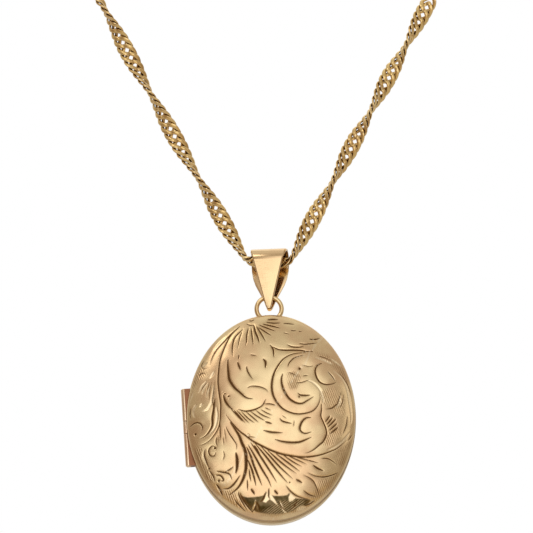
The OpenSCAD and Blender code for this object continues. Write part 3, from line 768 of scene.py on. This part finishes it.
PALMETTE = [
    (0.39, (-4.1, -5), (-3.6, -6.4), (-3.2, -8), (-2.7, -9.6), (-2.2, -11.1)),
    (0.35, (-4.1, -6.9), (-3.6, -8.4), (-3.3, -9.8), (-3.1, -11.1)),
    (0.26, (-3.95, -8.3), (-3.9, -9.6), (-3.8, -10.4)), (0.23, (-4.35, -9.9), (-4.4, -11.7)),
    (0.35, (-3.9, -4.6), (-3, -6.5), (-2, -8.7), (-1.2, -10.3), (-0.8, -11.5)),
    (0.35, (-3.5, -4.3), (-2.5, -6), (-1.4, -8), (-0.5, -9.7), (0.1, -10.9)),
    (0.33, (-2.9, -4.9), (-2.2, -6.3)),
    (0.35, (-2.8, -4.6), (-1.4, -6.6), (0, -8.7), (1, -10.1), (1.8, -11.1)),
    (0.33, (-1.9, -5.2), (-0.8, -6.6), (0.6, -8.4), (1.8, -9.7), (2.6, -10.5)),
    (0.33, (-1, -5.8), (0.4, -7.3), (1.8, -8.6), (3.2, -9.7)),
    (0.32, (0.2, -6.4), (1.6, -7.6), (3, -8.8), (3.7, -9.4)), (0.3, (1.4, -6.8), (2.8, -7.9), (4.1, -8.7)),
    (0.28, (2.2, -7), (3.6, -7.7), (4.9, -8.4)), (0.26, (3.3, -7.2), (4.6, -7.6), (6.6, -8.2)),
    (0.42, (5.7, -8.5), (6.3, -9), (7.2, -9.4)), (0.37, (3, -10.5), (3.9, -11.1)),
    (0.37, (-3.9, -11.4), (-3.4, -12.3)), (0.37, (-0.4, -11.9), (0.1, -12.6)),
    (0.3, (1.4, -11.3), (2, -12.2), (2.8, -12.9), (3.8, -13.3), (4.8, -13.5)),
    (0.32, (4, -12.2), (4.7, -12.8), (5.9, -13.2)),
    (0.3, (4.8, -9.6), (5.8, -10.1), (7, -10.3), (8.2, -10.1), (9.4, -9.6)),
    (0.28, (4.1, -9.9), (5, -10.4), (5.6, -11), (6, -12), (6.2, -12.9)),
    (0.26, (7, -7.5), (8, -7.6), (8.8, -8.1), (9.3, -8.7)),
    (0.33, (-5.6, -11.8), (-5.2, -12.9), (-4.4, -14.2), (-3.8, -14.9)),
    (0.26, (-3.2, -13.6), (-3.6, -14.4), (-4, -14.8)), (0.3, (-1.8, -12.2), (-2.1, -13), (-2.7, -13.5)),
    (0.26, (-1.2, -11.5), (-1.3, -12.8), (-1, -13.2))]
FINE_LINES = [
    (0.18, (-9.3, 5.7), (-10, 4.9), (-10.4, 4.1)), (0.18, (-8.95, 5.6), (-9.35, 4.4), (-9.6, 3.2)),
    (0.18, (-8.55, 5.8), (-8.9, 4.6), (-9.15, 3.2), (-9.25, 2.2)),
    (0.2, (-8.2, 5.9), (-8.35, 4.4), (-8.6, 3), (-8.65, 1.8), (-8.5, 1)),
    (0.2, (-9.4, 9.4), (-9.9, 8.6), (-9.7, 7.9), (-9.1, 7.9)),
    (0.2, (-11.9, 4.6), (-12.3, 3.6), (-12.3, 2.6)), (0.2, (-12, 2), (-12.2, 1), (-12.1, 0.2)),
    (0.18, (-10.5, 6.8), (-9.9, 7.2), (-9.4, 6.9)), (0.18, (-7.8, -0.8), (-7.85, -3)),
    (0.16, (-7.2, -1.8), (-7.1, -4)), (0.16, (-8.2, -2.6), (-8.3, -4.2)), (0.16, (-7.5, -3), (-7.5, -4.6)),
    (0.2, (-7.6, -5.2), (-7.5, -6), (-7.8, -6.8)), (0.25, (-7.5, -8.5), (-6.8, -8.2), (-6.2, -7.8)),
    (0.28, (-9.9, -8), (-9.4, -8.9), (-9.2, -9.8)),
    (0.28, (-5.8, -11.6), (-5.7, -12.4), (-5.2, -13.5), (-4.6, -14.5)),
    (0.26, (-6.5, -12.6), (-6, -13.4), (-5.3, -14.2), (-4.8, -14.7)),
    (0.2, (9.8, 0.4), (10.2, 1.2), (10.6, 2.2), (10.8, 3)), (0.2, (10.4, 0.2), (10.9, 1.2), (11.1, 2.4)),
    (0.26, (9, 6), (9.6, 5.2), (10, 4.4)),
    (0.2, (10.3, 6.1), (11.2, 5.1), (11.8, 4), (12.2, 2.6), (12.4, 1)),
    (0.2, (7.6, 8.6), (8.8, 8.2), (9.9, 7.6)), (0.22, (11.4, -1), (11.1, -2.6), (10.4, -4)),
    (0.2, (3, 6.1), (3.6, 5.9), (4.3, 5.4)), (0.18, (5.2, 7.2), (6.2, 6.9), (7, 7)),
    (0.18, (1.6, -0.6), (2.3, -1.2)), (0.18, (3.2, -2.5), (3.4, -1.4)), (0.2, (-3.7, -3.5), (-2.6, -3.7)),
    (0.24, (2.9, -13.6), (2.4, -14.4), (1.6, -15)), (0.24, (0.1, -13.6), (0.5, -14.4), (1.2, -15.2)),
    (0.24, (-3.4, -13.2), (-3, -14), (-2.9, -14.8)), (0.24, (5.6, -13.6), (4.6, -14.2), (3.6, -14.4))]
DARK_CUTS = (FINE_LINES + TOP_FAN + UPPER_RIGHT_LEAF + UPPER_LEFT + MIDDLE_FAN + LEFT_EDGE
             + RIGHT_SCROLL + RIGHT_LOWER + MAIN_SWEEPS + PALMETTE)

# Bright-cut facets, cut in relief and lightened with a painted highlight; they hold no patina.
BRIGHT_CUTS = [
    (0.4, (-8.1, 7.3), (-8.6, 6.6), (-8.9, 6.3)), (0.4, (-9.3, 5.9), (-10.1, 5.2), (-10.7, 4.2)),
    (0.38, (-9, 5.6), (-9.8, 4.8), (-10.2, 3.9)), (0.38, (-8.7, 5.2), (-9.3, 4.2), (-9.5, 3.3)),
    (0.5, (-8.3, 5), (-8.6, 3.4), (-9, 2.2), (-9.5, 1.5), (-10.3, 1.2)),
    (0.36, (-11.5, 4.5), (-12.1, 3.3), (-12.2, 2.4)),
    (0.5, (-11.1, 2.5), (-11.7, 1.7), (-11.7, 0.9), (-11.5, 0.4)), (0.4, (-10.2, 2.4), (-10.7, 2)),
    (0.36, (-6, 12.7), (-7.2, 11.6), (-8, 10.6)),
    (0.5, (-8.2, 1.6), (-8.2, 0.1), (-8.7, -1.6), (-9.8, -2.8)),
    (0.5, (-10.3, -4.7), (-10.6, -5.7), (-10.3, -7)), (0.36, (-9.1, 8.9), (-9.9, 8.3)),
    (0.42, (7.95, 1), (7.95, 2), (7.6, 3.2), (6.8, 4.2), (5.8, 4.7)),
    (0.4, (7.3, 8.3), (8.6, 7.9), (9.8, 7.2)), (0.36, (9.6, 8.2), (10.6, 7.4), (11.1, 6.9)),
    (0.45, (9.9, 6.1), (10.9, 5.2), (11.6, 4), (11.9, 2.6), (12, 1.2), (12.1, -1), (11.9, -2.2)),
    (0.4, (9, 6), (9.6, 5.2), (10, 4.6)), (0.5, (9.9, 0.2), (10.5, 1), (10.6, 2.2)),
    (0.42, (11.6, -3.6), (10.6, -4.8), (9.4, -5.7), (8, -6.3)), (0.5, (-3.9, -3.15), (-3.5, -3.45)),
    (0.4, (-3.3, -13.1), (-3.5, -13.7), (-3.8, -14.4), (-3.5, -15)),
    (0.4, (0.3, -13.5), (0.5, -14.3), (0.8, -15), (1.2, -15.3))]

# Punched dots: (x, z, radius).
PITS = [(-6.75, 3.5, 0.14), (-6.2, 3.05, 0.17), (-6.1, 2.6, 0.09), (-7, 3.8, 0.1), (-10.2, 8.9, 0.25),
        (-10.5, 8.2, 0.2), (-11.6, -2.2, 0.2), (-8.8, -4.75, 0.2), (4.8, 6.6, 0.22), (4.4, 2.15, 0.14),
        (-8.6, -9.7, 0.18), (-9.9, -7.7, 0.16), (6.9, 9.3, 0.14), (2.0, -10.9, 0.12)]

# Hatched ground, the darkened ground under the palmette in oxidised colour and painted shade, and the petal
# tips in it, lightened with a painted highlight: outlines (x, z).
HATCHED = [
    [(5.2, -13.4), (6.4, -11), (7.6, -10.6), (9.6, -9.6), (9.6, -8.6), (9, -7.6), (9.6, -6.6), (11.4, -5),
     (12.2, -3.8), (11.4, -7), (10, -10), (8, -12.6), (6, -14.3), (4.8, -14.9), (3, -15.4), (4.6, -14.2)],
    [(2.8, 6), (4, 6.3), (4.9, 5.5), (4.8, 4.6), (4.2, 3.5), (3.1, 3.5), (2.8, 4.6)],
    [(8, -3.6), (9.9, -2.9), (10.2, -4), (9, -5.4), (7.4, -5.6), (8, -4.4)],
    [(7.6, 2.8), (9.6, 3.6), (11, 2), (11, -1), (9.6, -0.6), (8.6, 0.6), (7.9, 1.2)],
    [(-11.9, -4.4), (-10.8, -4.4), (-11, -6.4), (-10.2, -8), (-9.4, -8.6), (-9.6, -9.8), (-10.6, -8.6),
     (-11.5, -6.6)],
    [(-8.1, -11.3), (-6.6, -11.4), (-5.9, -12.4), (-5.2, -14), (-6.4, -13.7), (-7.6, -12.4)],
    [(-0.8, -14.1), (0.8, -13.6), (2.6, -13.5), (4.6, -13.5), (4, -14.6), (2.4, -15.3), (-0.6, -15.7),
     (-3, -15.4), (-2.4, -14.7)],
    [(7.4, 9.2), (9.4, 8.6), (10.8, 7.4), (11.9, 5.6), (12.2, 3.4), (11.2, 5.2), (10, 6.6), (8.4, 7.9)],
    [(-10, 8), (-9.2, 7), (-10.4, 6.2), (-11.6, 4.8), (-12.2, 2.6), (-12.5, 0.6), (-12.6, 3), (-11.4, 6.4)]]
DARKENED = [
    [(-6, -11.7), (-5.4, -12.3), (-4.5, -12.6), (-3.6, -12.6), (-2.6, -12.6), (-1.9, -12.5), (-1.7, -11.9),
     (-1.3, -12.4), (-0.5, -12.7), (0.6, -12.8), (1.5, -12.7), (1.8, -12.4), (2.1, -12.9), (2.9, -13.3),
     (4.2, -13.4), (5, -13.6), (4.4, -14.3), (3.6, -14.6), (2.6, -14.9), (1.4, -15.3), (-0.1, -15.4),
     (-1.5, -15.3), (-2.8, -15), (-3.9, -14.6), (-4.6, -14.1), (-5.1, -13.6), (-5.6, -12.9)]]
PETAL_TIPS = [
    [(-1.4, -12), (-1.8, -12.7), (-2.2, -13.4), (-1.8, -13.6), (-1.2, -13.1), (-0.7, -13.5), (0, -14.2),
     (-0.4, -13.4), (-0.9, -12.6)],
    [(2.1, -12.4), (1.7, -13), (1.7, -13.7), (2.2, -13.6), (2.7, -13.2), (2.4, -13)],
    [(2.6, -15), (3, -14.6), (3.8, -14.3), (4.2, -14.6), (3.7, -14.9), (3.2, -15)],
    [(-6.1, -12.2), (-5.7, -12.9), (-5.1, -13.7), (-4.5, -14.5), (-4.6, -13.7), (-5.2, -13)]]

# The pattern was cut a little askew on the oval, and the graver pressed the sheet down beside its lines.
PATTERN_TURN, PATTERN_UP = math.radians(4.2), 0.1
CUT_DEPTH, FACET_DEPTH, BURR = 0.26, 0.2, 0.12
PRESSED, DENTED = 0.085, 0.039
# The pattern is worked out on a raster, in mm; the softenings are in passes over its cells.
RASTER, RASTER_X, RASTER_Z = 0.05, 13.4, 16.5
GROUND_SOFT, DARK_SOFT, HALO_SOFT, DENT_SOFT, DENT_CELLS = 26, 9, 140, 300, 40


def raster_axes():
    return np.arange(-RASTER_X, RASTER_X, RASTER), np.arange(-RASTER_Z, RASTER_Z, RASTER)


def inside(outline, x, z):
    """1 inside an outline and 0 outside, for arrays of points."""
    hit = np.zeros(np.broadcast(x, z).shape, bool)
    for (xa, za), (xb, zb) in zip(outline, outline[1:] + outline[:1]):
        if za != zb:
            hit ^= ((za > z) != (zb > z)) & (x < (xb - xa) * (z - za) / (zb - za) + xa)
    return hit.astype(float)


def softened(field, passes):
    for _ in range(passes):
        padded = np.pad(field, 1, mode="edge")
        field = (padded[:-2, 1:-1] + padded[2:, 1:-1] + padded[1:-1, :-2] + padded[1:-1, 2:] + 2 * field) / 6
    return field


def engraving_maps():
    """Height in mm, patina in the cuts, hatched ground, dark ground, the painted highlights of the bright
    facets and tips, and the halo beside the cuts, which is pressing with brown staining and painted shade,
    each over the raster."""
    xs, zs = raster_axes()
    x, z = np.meshgrid(xs, zs)
    cuts, cut_mask = np.zeros(x.shape), np.zeros(x.shape)
    facets, facet_mask = np.zeros(x.shape), np.zeros(x.shape)
    engrave(DARK_CUTS, cuts, cut_mask, CUT_DEPTH, 0.25)
    engrave([facing_out(stroke) for stroke in BRIGHT_CUTS], facets, facet_mask, FACET_DEPTH, 0.8)
    for px, pz, r in PITS:
        near = np.hypot(x - px, z - pz) / r
        cuts = np.minimum(cuts, -0.5 * r * np.clip(1.2 - near ** 2, 0, 1))
        cut_mask = np.maximum(cut_mask, np.clip(1.5 - near ** 2, 0, 1))
    ground = softened(np.clip(sum(inside(o, x, z) for o in HATCHED), 0, 1), GROUND_SOFT)
    # The petal tips, lightened with a painted highlight.
    bright = softened(np.clip(sum(inside(o, x, z) for o in PETAL_TIPS), 0, 1), 2)
    # Oxidised ground and painted shade under the palmette, painted less dark towards the bottom edge.
    dark = softened(sum(inside(o, x, z) for o in DARKENED), DARK_SOFT) * (1 - bright)
    dark *= np.interp(z, [-15.4, -14.4, -13.4], [0.75, 0.9, 1])
    dents = np.random.default_rng(7).uniform(-1, 1, (17, 14))
    dents = np.kron(dents, np.ones((DENT_CELLS, DENT_CELLS)))[:len(zs), :len(xs)]
    height = softened(np.where(cuts < 0, cuts, facets + cuts), 2)
    # A wide halo round the cuts: the sheet is pressed down there, and its colour gets brown staining and
    # painted shade.
    cut_halo = softened(cut_mask, HALO_SOFT)
    height += DENTED * softened(dents, DENT_SOFT) - PRESSED * cut_halo
    return height, softened(cut_mask, 1), ground, dark, np.maximum(softened(facet_mask, 2), bright), cut_halo


def facing_out(stroke):
    """The stroke, drawn in the direction that puts its steep side towards the middle of the oval."""
    width, *points = stroke
    (xa, za), (xb, zb) = points[0], points[-1]
    middle_x, middle_z = points[len(points) // 2]
    inward = (zb - za) * middle_x - (xb - xa) * middle_z
    return (width, *(points if inward > 0 else points[::-1]))


def engrave(strokes, height, mask, depth, lean):
    """Cuts strokes into the height map and marks them in the mask, with a small burr beside each cut.
    The deepest line of a cut lies at lean of its half width; both its ends taper."""
    low, high = np.zeros(height.shape), np.zeros(height.shape)
    columns, rows = height.shape[1], height.shape[0]
    reach = int(0.45 / RASTER) + 1
    near = np.arange(-reach, reach + 1)
    around = np.stack(np.meshgrid(near, near), 2).reshape(-1, 2)
    for width, *points in strokes:
        line = smooth_line(points, RASTER)
        ahead = np.gradient(line, axis=0)
        ahead /= np.maximum(np.linalg.norm(ahead, axis=1), 1e-9)[:, None]
        share = np.linspace(0, 1, len(line))
        half = 0.5 * width * (0.22 + 0.78 * np.sin(math.pi * share ** 0.85) ** 0.65)
        cell = np.round((line + (RASTER_X, RASTER_Z)) / RASTER).astype(int)
        cells = cell[:, None] + around[None]
        spot = cells * RASTER - (RASTER_X, RASTER_Z) - line[:, None]
        along = np.abs((spot * ahead[:, None]).sum(2))
        side = (spot[..., 0] * -ahead[:, None, 1] + spot[..., 1] * ahead[:, None, 0]) / half[:, None]
        fine = (along <= RASTER * 0.8) & (np.abs(side) < 1.7) & (cells >= 0).all(2)
        fine &= (cells[..., 0] < columns) & (cells[..., 1] < rows)
        deep = np.broadcast_to(half[:, None] * depth * 2, fine.shape)[fine]
        side = side[fine]
        at = cells[fine][:, 1], cells[fine][:, 0]
        groove = np.clip(np.where(side < lean, (side + 1) / (1 + lean), (1 - side) / (1 - lean)), 0, 1)
        np.minimum.at(low, at, -groove * deep)
        np.maximum.at(high, at, BURR * deep * np.exp(-((np.abs(side) - 1.25) / 0.2) ** 2))
        np.maximum.at(mask, at, np.clip(1.25 - np.abs(side - lean * 0.4) ** 2 * 1.3, 0, 1))
    height += np.where(low < 0, low, high)


def sampled(field, x, z):
    """A raster field at points, blended between its cells."""
    u, v = (x + RASTER_X) / RASTER, (z + RASTER_Z) / RASTER
    i, j = np.clip(u.astype(int), 0, field.shape[1] - 2), np.clip(v.astype(int), 0, field.shape[0] - 2)
    fu, fv = u - i, v - j
    return (field[j, i] * (1 - fu) * (1 - fv) + field[j, i + 1] * fu * (1 - fv)
            + field[j + 1, i] * (1 - fu) * fv + field[j + 1, i + 1] * fu * fv)


# ---------------------------------------------------------------- the covers
# the face's grid, its share of the oval, and the rings between the grid and the edge
FACE_CELLS = 288
FACE_EDGE = 0.985
FACE_RINGS = (0.991, 0.996, 0.999, 1.0)


def front_cover():
    """The pressed front: a domed face with the engraving as real relief, its wall, and its hollow inside."""
    n = FACE_CELLS
    a, b = np.meshgrid(np.linspace(-1, 1, n + 1), np.linspace(-1, 1, n + 1))
    wide = np.abs(a) > np.abs(b)
    with np.errstate(divide="ignore", invalid="ignore"):
        rho = np.where(wide, a, b)
        angle = np.where(wide, math.pi / 4 * b / a, math.pi / 2 - math.pi / 4 * a / b)
    angle = np.nan_to_num(angle)
    u, v = rho * np.cos(angle) * FACE_EDGE, rho * np.sin(angle) * FACE_EDGE
    height, cut, ground, dark, painted_highlight, cut_halo = engraving_maps()
    loop = [(0, j) for j in range(n)] + [(i, n) for i in range(n)]
    loop += [(n, j) for j in range(n, 0, -1)] + [(i, 0) for i in range(n, 0, -1)]
    edge = np.array([(u[i, j], v[i, j]) for i, j in loop]) / FACE_EDGE
    face_u = np.concatenate([u.ravel()] + [edge[:, 0] * r for r in FACE_RINGS])
    face_v = np.concatenate([v.ravel()] + [edge[:, 1] * r for r in FACE_RINGS])
    x, z = face_u * COVER_A, face_v * COVER_A * STRETCH
    rise = np.sqrt(np.clip(1 - face_u ** 2 - face_v ** 2, 0, 1))
    normal = np.stack([x / COVER_A ** 2, -rise / FRONT_DOME, z / (COVER_A * STRETCH) ** 2], 1)
    normal /= np.linalg.norm(normal, axis=1)[:, None]
    keep = np.clip((FACE_EDGE - np.hypot(face_u, face_v)) / 0.02, 0, 1)
    c, s = math.cos(PATTERN_TURN), math.sin(PATTERN_TURN)
    pattern = x * c + (z - PATTERN_UP) * s, (z - PATTERN_UP) * c - x * s
    lift = sampled(height, *pattern) * keep
    outer = np.stack([x, -FRONT_WALL - FRONT_DOME * rise, z], 1) + normal * lift[:, None]
    count = len(edge)

    def ring(r, h):
        return np.stack([edge[:, 0] * r, np.full(count, -h), edge[:, 1] * r * STRETCH], 1)

    inner_rise = FRONT_DOME - SHEET
    rings = [ring(COVER_A, (FRONT_WALL + FRONT_RIM) / 2), ring(COVER_A, FRONT_RIM + 0.2),
             ring(COVER_A - 0.04, FRONT_RIM + 0.08), ring(COVER_A - 0.14, FRONT_RIM),
             ring(CAVITY_A, FRONT_RIM), ring(CAVITY_A, FRONT_WALL)]
    rings += [ring(CAVITY_A * r, FRONT_WALL + inner_rise * math.sqrt(1 - r * r)) for r in (0.97, 0.85, 0.5)]
    verts = np.vstack([outer] + rings)
    cells = np.arange((n + 1) ** 2).reshape(n + 1, n + 1)
    quads = np.stack([cells[:-1, :-1], cells[:-1, 1:], cells[1:, 1:], cells[1:, :-1]], 2).reshape(-1, 4)
    faces = quads.tolist()
    previous = np.array([cells[i, j] for i, j in loop])
    start = (n + 1) ** 2
    for _ in range(len(FACE_RINGS) + len(rings)):
        here = np.arange(start, start + count)
        faces += np.stack([previous, np.roll(previous, -1), np.roll(here, -1), here], 1).tolist()
        previous, start = here, start + count
    faces.append(tuple(previous.tolist()))
    pad = np.zeros(len(rings) * count)
    fields = {"cut": cut, "ground": ground, "dark": dark, "painted_highlight": painted_highlight, "cut_halo": cut_halo}
    attributes = {k: np.concatenate([sampled(f, *pattern) * keep, pad]) for k, f in fields.items()}
    return add_piece("engraved_front", in_body(verts), faces, ENGRAVED, "front_half",
                     ["front_cover"], attributes=attributes)


def back_cover():
    """The plain polished back, hollow, with a soft shoulder between wall and dome."""
    steps = np.linspace(0, math.pi / 2, 44)
    profile = [(CAVITY_A, -BACK_RIM), (COVER_A - 0.04, -BACK_RIM), (COVER_A, -BACK_RIM - 0.04)]
    profile += [(COVER_A * math.cos(t), -BACK_WALL - BACK_DOME * math.sin(t)) for t in steps]
    profile += [(CAVITY_A * math.cos(t), -BACK_WALL - (BACK_DOME - SHEET) * math.sin(t)) for t in steps[::-3]]
    oval_piece("plain_back", profile, PLAIN, "back", "back_cover", sharp=50)


def rims():
    """The two plain bands, rounded along their edges and open where the hinge leaves lie."""
    front = rounded([(OVAL_A, SEAM_GAP), (OVAL_A, FRONT_RIM), (CAVITY_A, FRONT_RIM), (CAVITY_A, SEAM_GAP)],
                    [0.16, 0.24, 0, 0.03])
    oval_piece("front_band", front, PLAIN, "front", "front_rim", carry=oval_band)
    back = rounded([(OVAL_A, 0.0), (OVAL_A, -BACK_RIM), (CAVITY_A, -BACK_RIM), (CAVITY_A, 0.0)],
                   [0.2, 0.15, 0, 0.03])
    oval_piece("back_band", back, PLAIN, "back", "back_rim", carry=oval_band)


def lip_and_frames():
    """The closing lip and the two photo frames, each a rounded turned section."""
    lip_out, lip_in = CAVITY_A - 0.12, CAVITY_A - 0.12 - SHEET
    low, top = -1.3, 0.6
    lip = rounded([(CAVITY_A, low), (CAVITY_A, -BACK_RIM), (lip_out, -BACK_RIM), (lip_out, top - 0.15),
                   (lip_out - 0.12, top), (lip_in, top), (lip_in, low)], [0, 0, 0, 0.1, 0.08, 0.12, 0])
    oval_piece("closing_lip", lip, PLAIN, "back", "back_lip")
    opening, rest = lip_in - 1.2, lip_in - 0.45
    back = rounded([(lip_in, -1.2), (lip_in, -0.15), (opening, -0.15), (opening, -0.45), (rest, -0.45),
                    (rest, -1.2)], [0, 0.18, 0.14, 0.05, 0, 0])
    oval_piece("back_frame", back, FRAME, "back", "back_photo_frame")
    window(opening, rest, -0.47, -0.63, "back")
    out = CAVITY_A - 0.7
    opening, rest = out - 1.1, out - 0.5
    front = rounded([(CAVITY_A, 0.7), (CAVITY_A, 0.95), (out, 0.95), (out, 1.45), (rest, 1.45),
                     (rest, 0.95), (opening, 0.95), (opening, 0.7)], [0.05, 0, 0, 0, 0, 0, 0.05, 0.14])
    oval_piece("front_frame", front, FRAME, "front", "front_photo_frame")
    window(opening, rest, 0.97, 1.13, "front")


def window(opening, edge, face, seat, half):
    """A clear oval sheet, slightly domed inside its frame's opening, with its rim under the frame's ledge."""
    rise = 0.17 if half == "back" else -0.17
    dome = [(opening * share, face + rise * (1 - share ** 2)) for share in (0.97, 0.85, 0.7, 0.5, 0.3, 0.1)]
    profile = [(0.01, seat), (edge - 0.02, seat), (edge - 0.02, face)] + dome + [(0.01, face + rise)]
    profile = profile if half == "back" else profile[::-1]
    oval_piece(half + "_crystal", profile, WINDOW, half, half + "_window", sharp=40)


front_cover()
back_cover()
rims()
lip_and_frames()


# ---------------------------------------------------------------- the hinge
def hinge_piece(name, profile, body, replaces):
    points, faces = turned(profile, 40)
    points[:, 0] += HINGE_X
    add_piece(name, in_body(in_hinge(points)), faces, HINGE, body, replaces, sharp=50)


def knuckle(low, high):
    return rounded([(KNUCKLE_BORE, low), (KNUCKLE_R, low), (KNUCKLE_R, high), (KNUCKLE_BORE, high)],
                   [0.02, 0.08, 0.08, 0.02], 3)


def hinge():
    gap = 0.05
    hinge_piece("upper_knuckle", knuckle(MID_HALF + gap, HINGE_HALF), "back_half", ["back_knuckle_top"])
    hinge_piece("lower_knuckle", knuckle(-HINGE_HALF, -MID_HALF - gap), "back_half", ["back_knuckle_bottom"])
    hinge_piece("middle_knuckle", knuckle(-MID_HALF, MID_HALF), "front_half", ["front_knuckle"])
    head, end = 0.33, HINGE_HALF + 0.12
    pin = [(0, -end), (0.2, -end), (0.3, -end + 0.05), (head, -HINGE_HALF), (PIN_R, -HINGE_HALF),
           (PIN_R, HINGE_HALF), (head, HINGE_HALF), (0.3, end - 0.05), (0.2, end), (0, end)]
    hinge_piece("riveted_pin", pin, "back_half", ["hinge_pin"])
    # The leaves wear the dark painted-shade gold.
    for node in ("back_hinge_leaf", "front_hinge_leaf"):
        wear(node, SHADED_LEAF)


hinge()


# ---------------------------------------------------------------- floor, world and lamps
FLOOR_R, FLOOR_Z = 1.5, -0.9


def floor():
    """A round sheet of pale paper, far below the object."""
    mesh = bpy.data.meshes.new("floor")
    turn = np.linspace(0, 2 * math.pi, 96, endpoint=False)
    edge = [(FLOOR_R * math.cos(t), FLOOR_R * math.sin(t), FLOOR_Z) for t in turn]
    mesh.from_pydata(edge, [], [tuple(range(len(edge)))])
    made, sh = new_material("floor_paper")
    grain = sh.noise(sh.object_coords(), 60.0, 3.0)
    tone = sh.mix(grain, (0.86, 0.855, 0.845), (0.82, 0.815, 0.805))
    sh.surface({"Base Color": tone, "Roughness": 0.8})
    mesh.materials.append(made)
    piece = bpy.data.objects.new("floor", mesh)
    bpy.context.scene.collection.objects.link(piece)


def studio():
    """A tent of pale cloth round the object, with one broad soft light in front and a brighter strip in it.
    Its directions are angles in degrees: elevation above the horizon, and azimuth from the front."""
    world = bpy.data.worlds.new("studio")
    bpy.context.scene.world = world
    world.use_nodes = True
    sh = Shader(world.node_tree)
    way = sh.node("ShaderNodeSeparateXYZ", {0: sh.node("ShaderNodeTexCoord").outputs["Generated"]}).outputs
    elevation = sh.product(sh.math("ARCSINE", way[2]), 180 / math.pi)
    azimuth = sh.product(sh.math("ARCTAN2", way[0], sh.product(way[1], -1.0)), 180 / math.pi)
    off_front = sh.math("ABSOLUTE", azimuth)
    off_left = sh.math("ABSOLUTE", sh.math("ADD", azimuth, 12.0))

    def patch(sky, colour, *edges):
        """The sky with one more patch. An edge is a direction and the two angles that it fades in between."""
        return sh.mix(sh.product(*[sh.smooth(*edge) for edge in edges]), sky, colour)

    sky = patch((0.36, 0.31, 0.25), (0.38, 0.32, 0.26), (elevation, -60, -20))
    sky = patch(sky, (0.345, 0.265, 0.205), (azimuth, -10, -40))
    above = patch((0.52, 0.48, 0.42), (0.75, 0.72, 0.66), (elevation, 40, 75))
    sky = patch(sky, above, (elevation, 12, 30))
    # the cloth behind the object, and the light on it
    sky = patch(sky, (0.58, 0.55, 0.50), (off_front, 80, 125))
    sky = patch(sky, (1.05, 1.02, 0.96), (off_front, 120, 165), (elevation, 0, 30))
    # two warm reflectors low in front
    sky = patch(sky, (0.60, 0.45, 0.245), (off_front, 60, 30), (elevation, -14, -20), (elevation, -60, -38))
    sky = patch(sky, (0.85, 0.74, 0.52), (off_front, 60, 30), (elevation, -29, -34), (elevation, -56, -46))
    # the soft light and the strip
    sky = patch(sky, (1.25, 1.23, 1.19), (azimuth, -24, -5), (azimuth, 28, 6), (elevation, -23, -16),
                (elevation, 34, 18))
    sky = patch(sky, (1.41, 1.38, 1.32), (off_left, 26, 16), (elevation, -7, -5), (elevation, 8, 2))
    seen = sh.node("ShaderNodeLightPath").outputs["Is Camera Ray"]
    sky = sh.mix(seen, sky, (1.0, 1.0, 1.0))
    background = sh.node("ShaderNodeBackground", {"Color": sky, "Strength": 1.0})
    sh.node("ShaderNodeOutputWorld", {"Surface": background.outputs[0]})
    bpy.context.scene.view_settings.view_transform = "Standard"
    bpy.context.scene.view_settings.look = "None"


def lamp(name, place, size, power, colour):
    data = bpy.data.lights.new(name, "AREA")
    data.shape, data.size, data.energy, data.color = "DISK", size, power, colour
    made = bpy.data.objects.new(name, data)
    made.location = place
    made.rotation_mode = "QUATERNION"
    made.rotation_quaternion = Vector(place).to_track_quat("Z", "Y")
    bpy.context.scene.collection.objects.link(made)


floor()
studio()
lamp("key", (-0.35, -0.55, 0.55), 0.3, 0.35, (1.0, 0.96, 0.90))
lamp("fill", (0.6, -0.5, 0.2), 0.3, 0.12, (1.0, 0.95, 0.88))
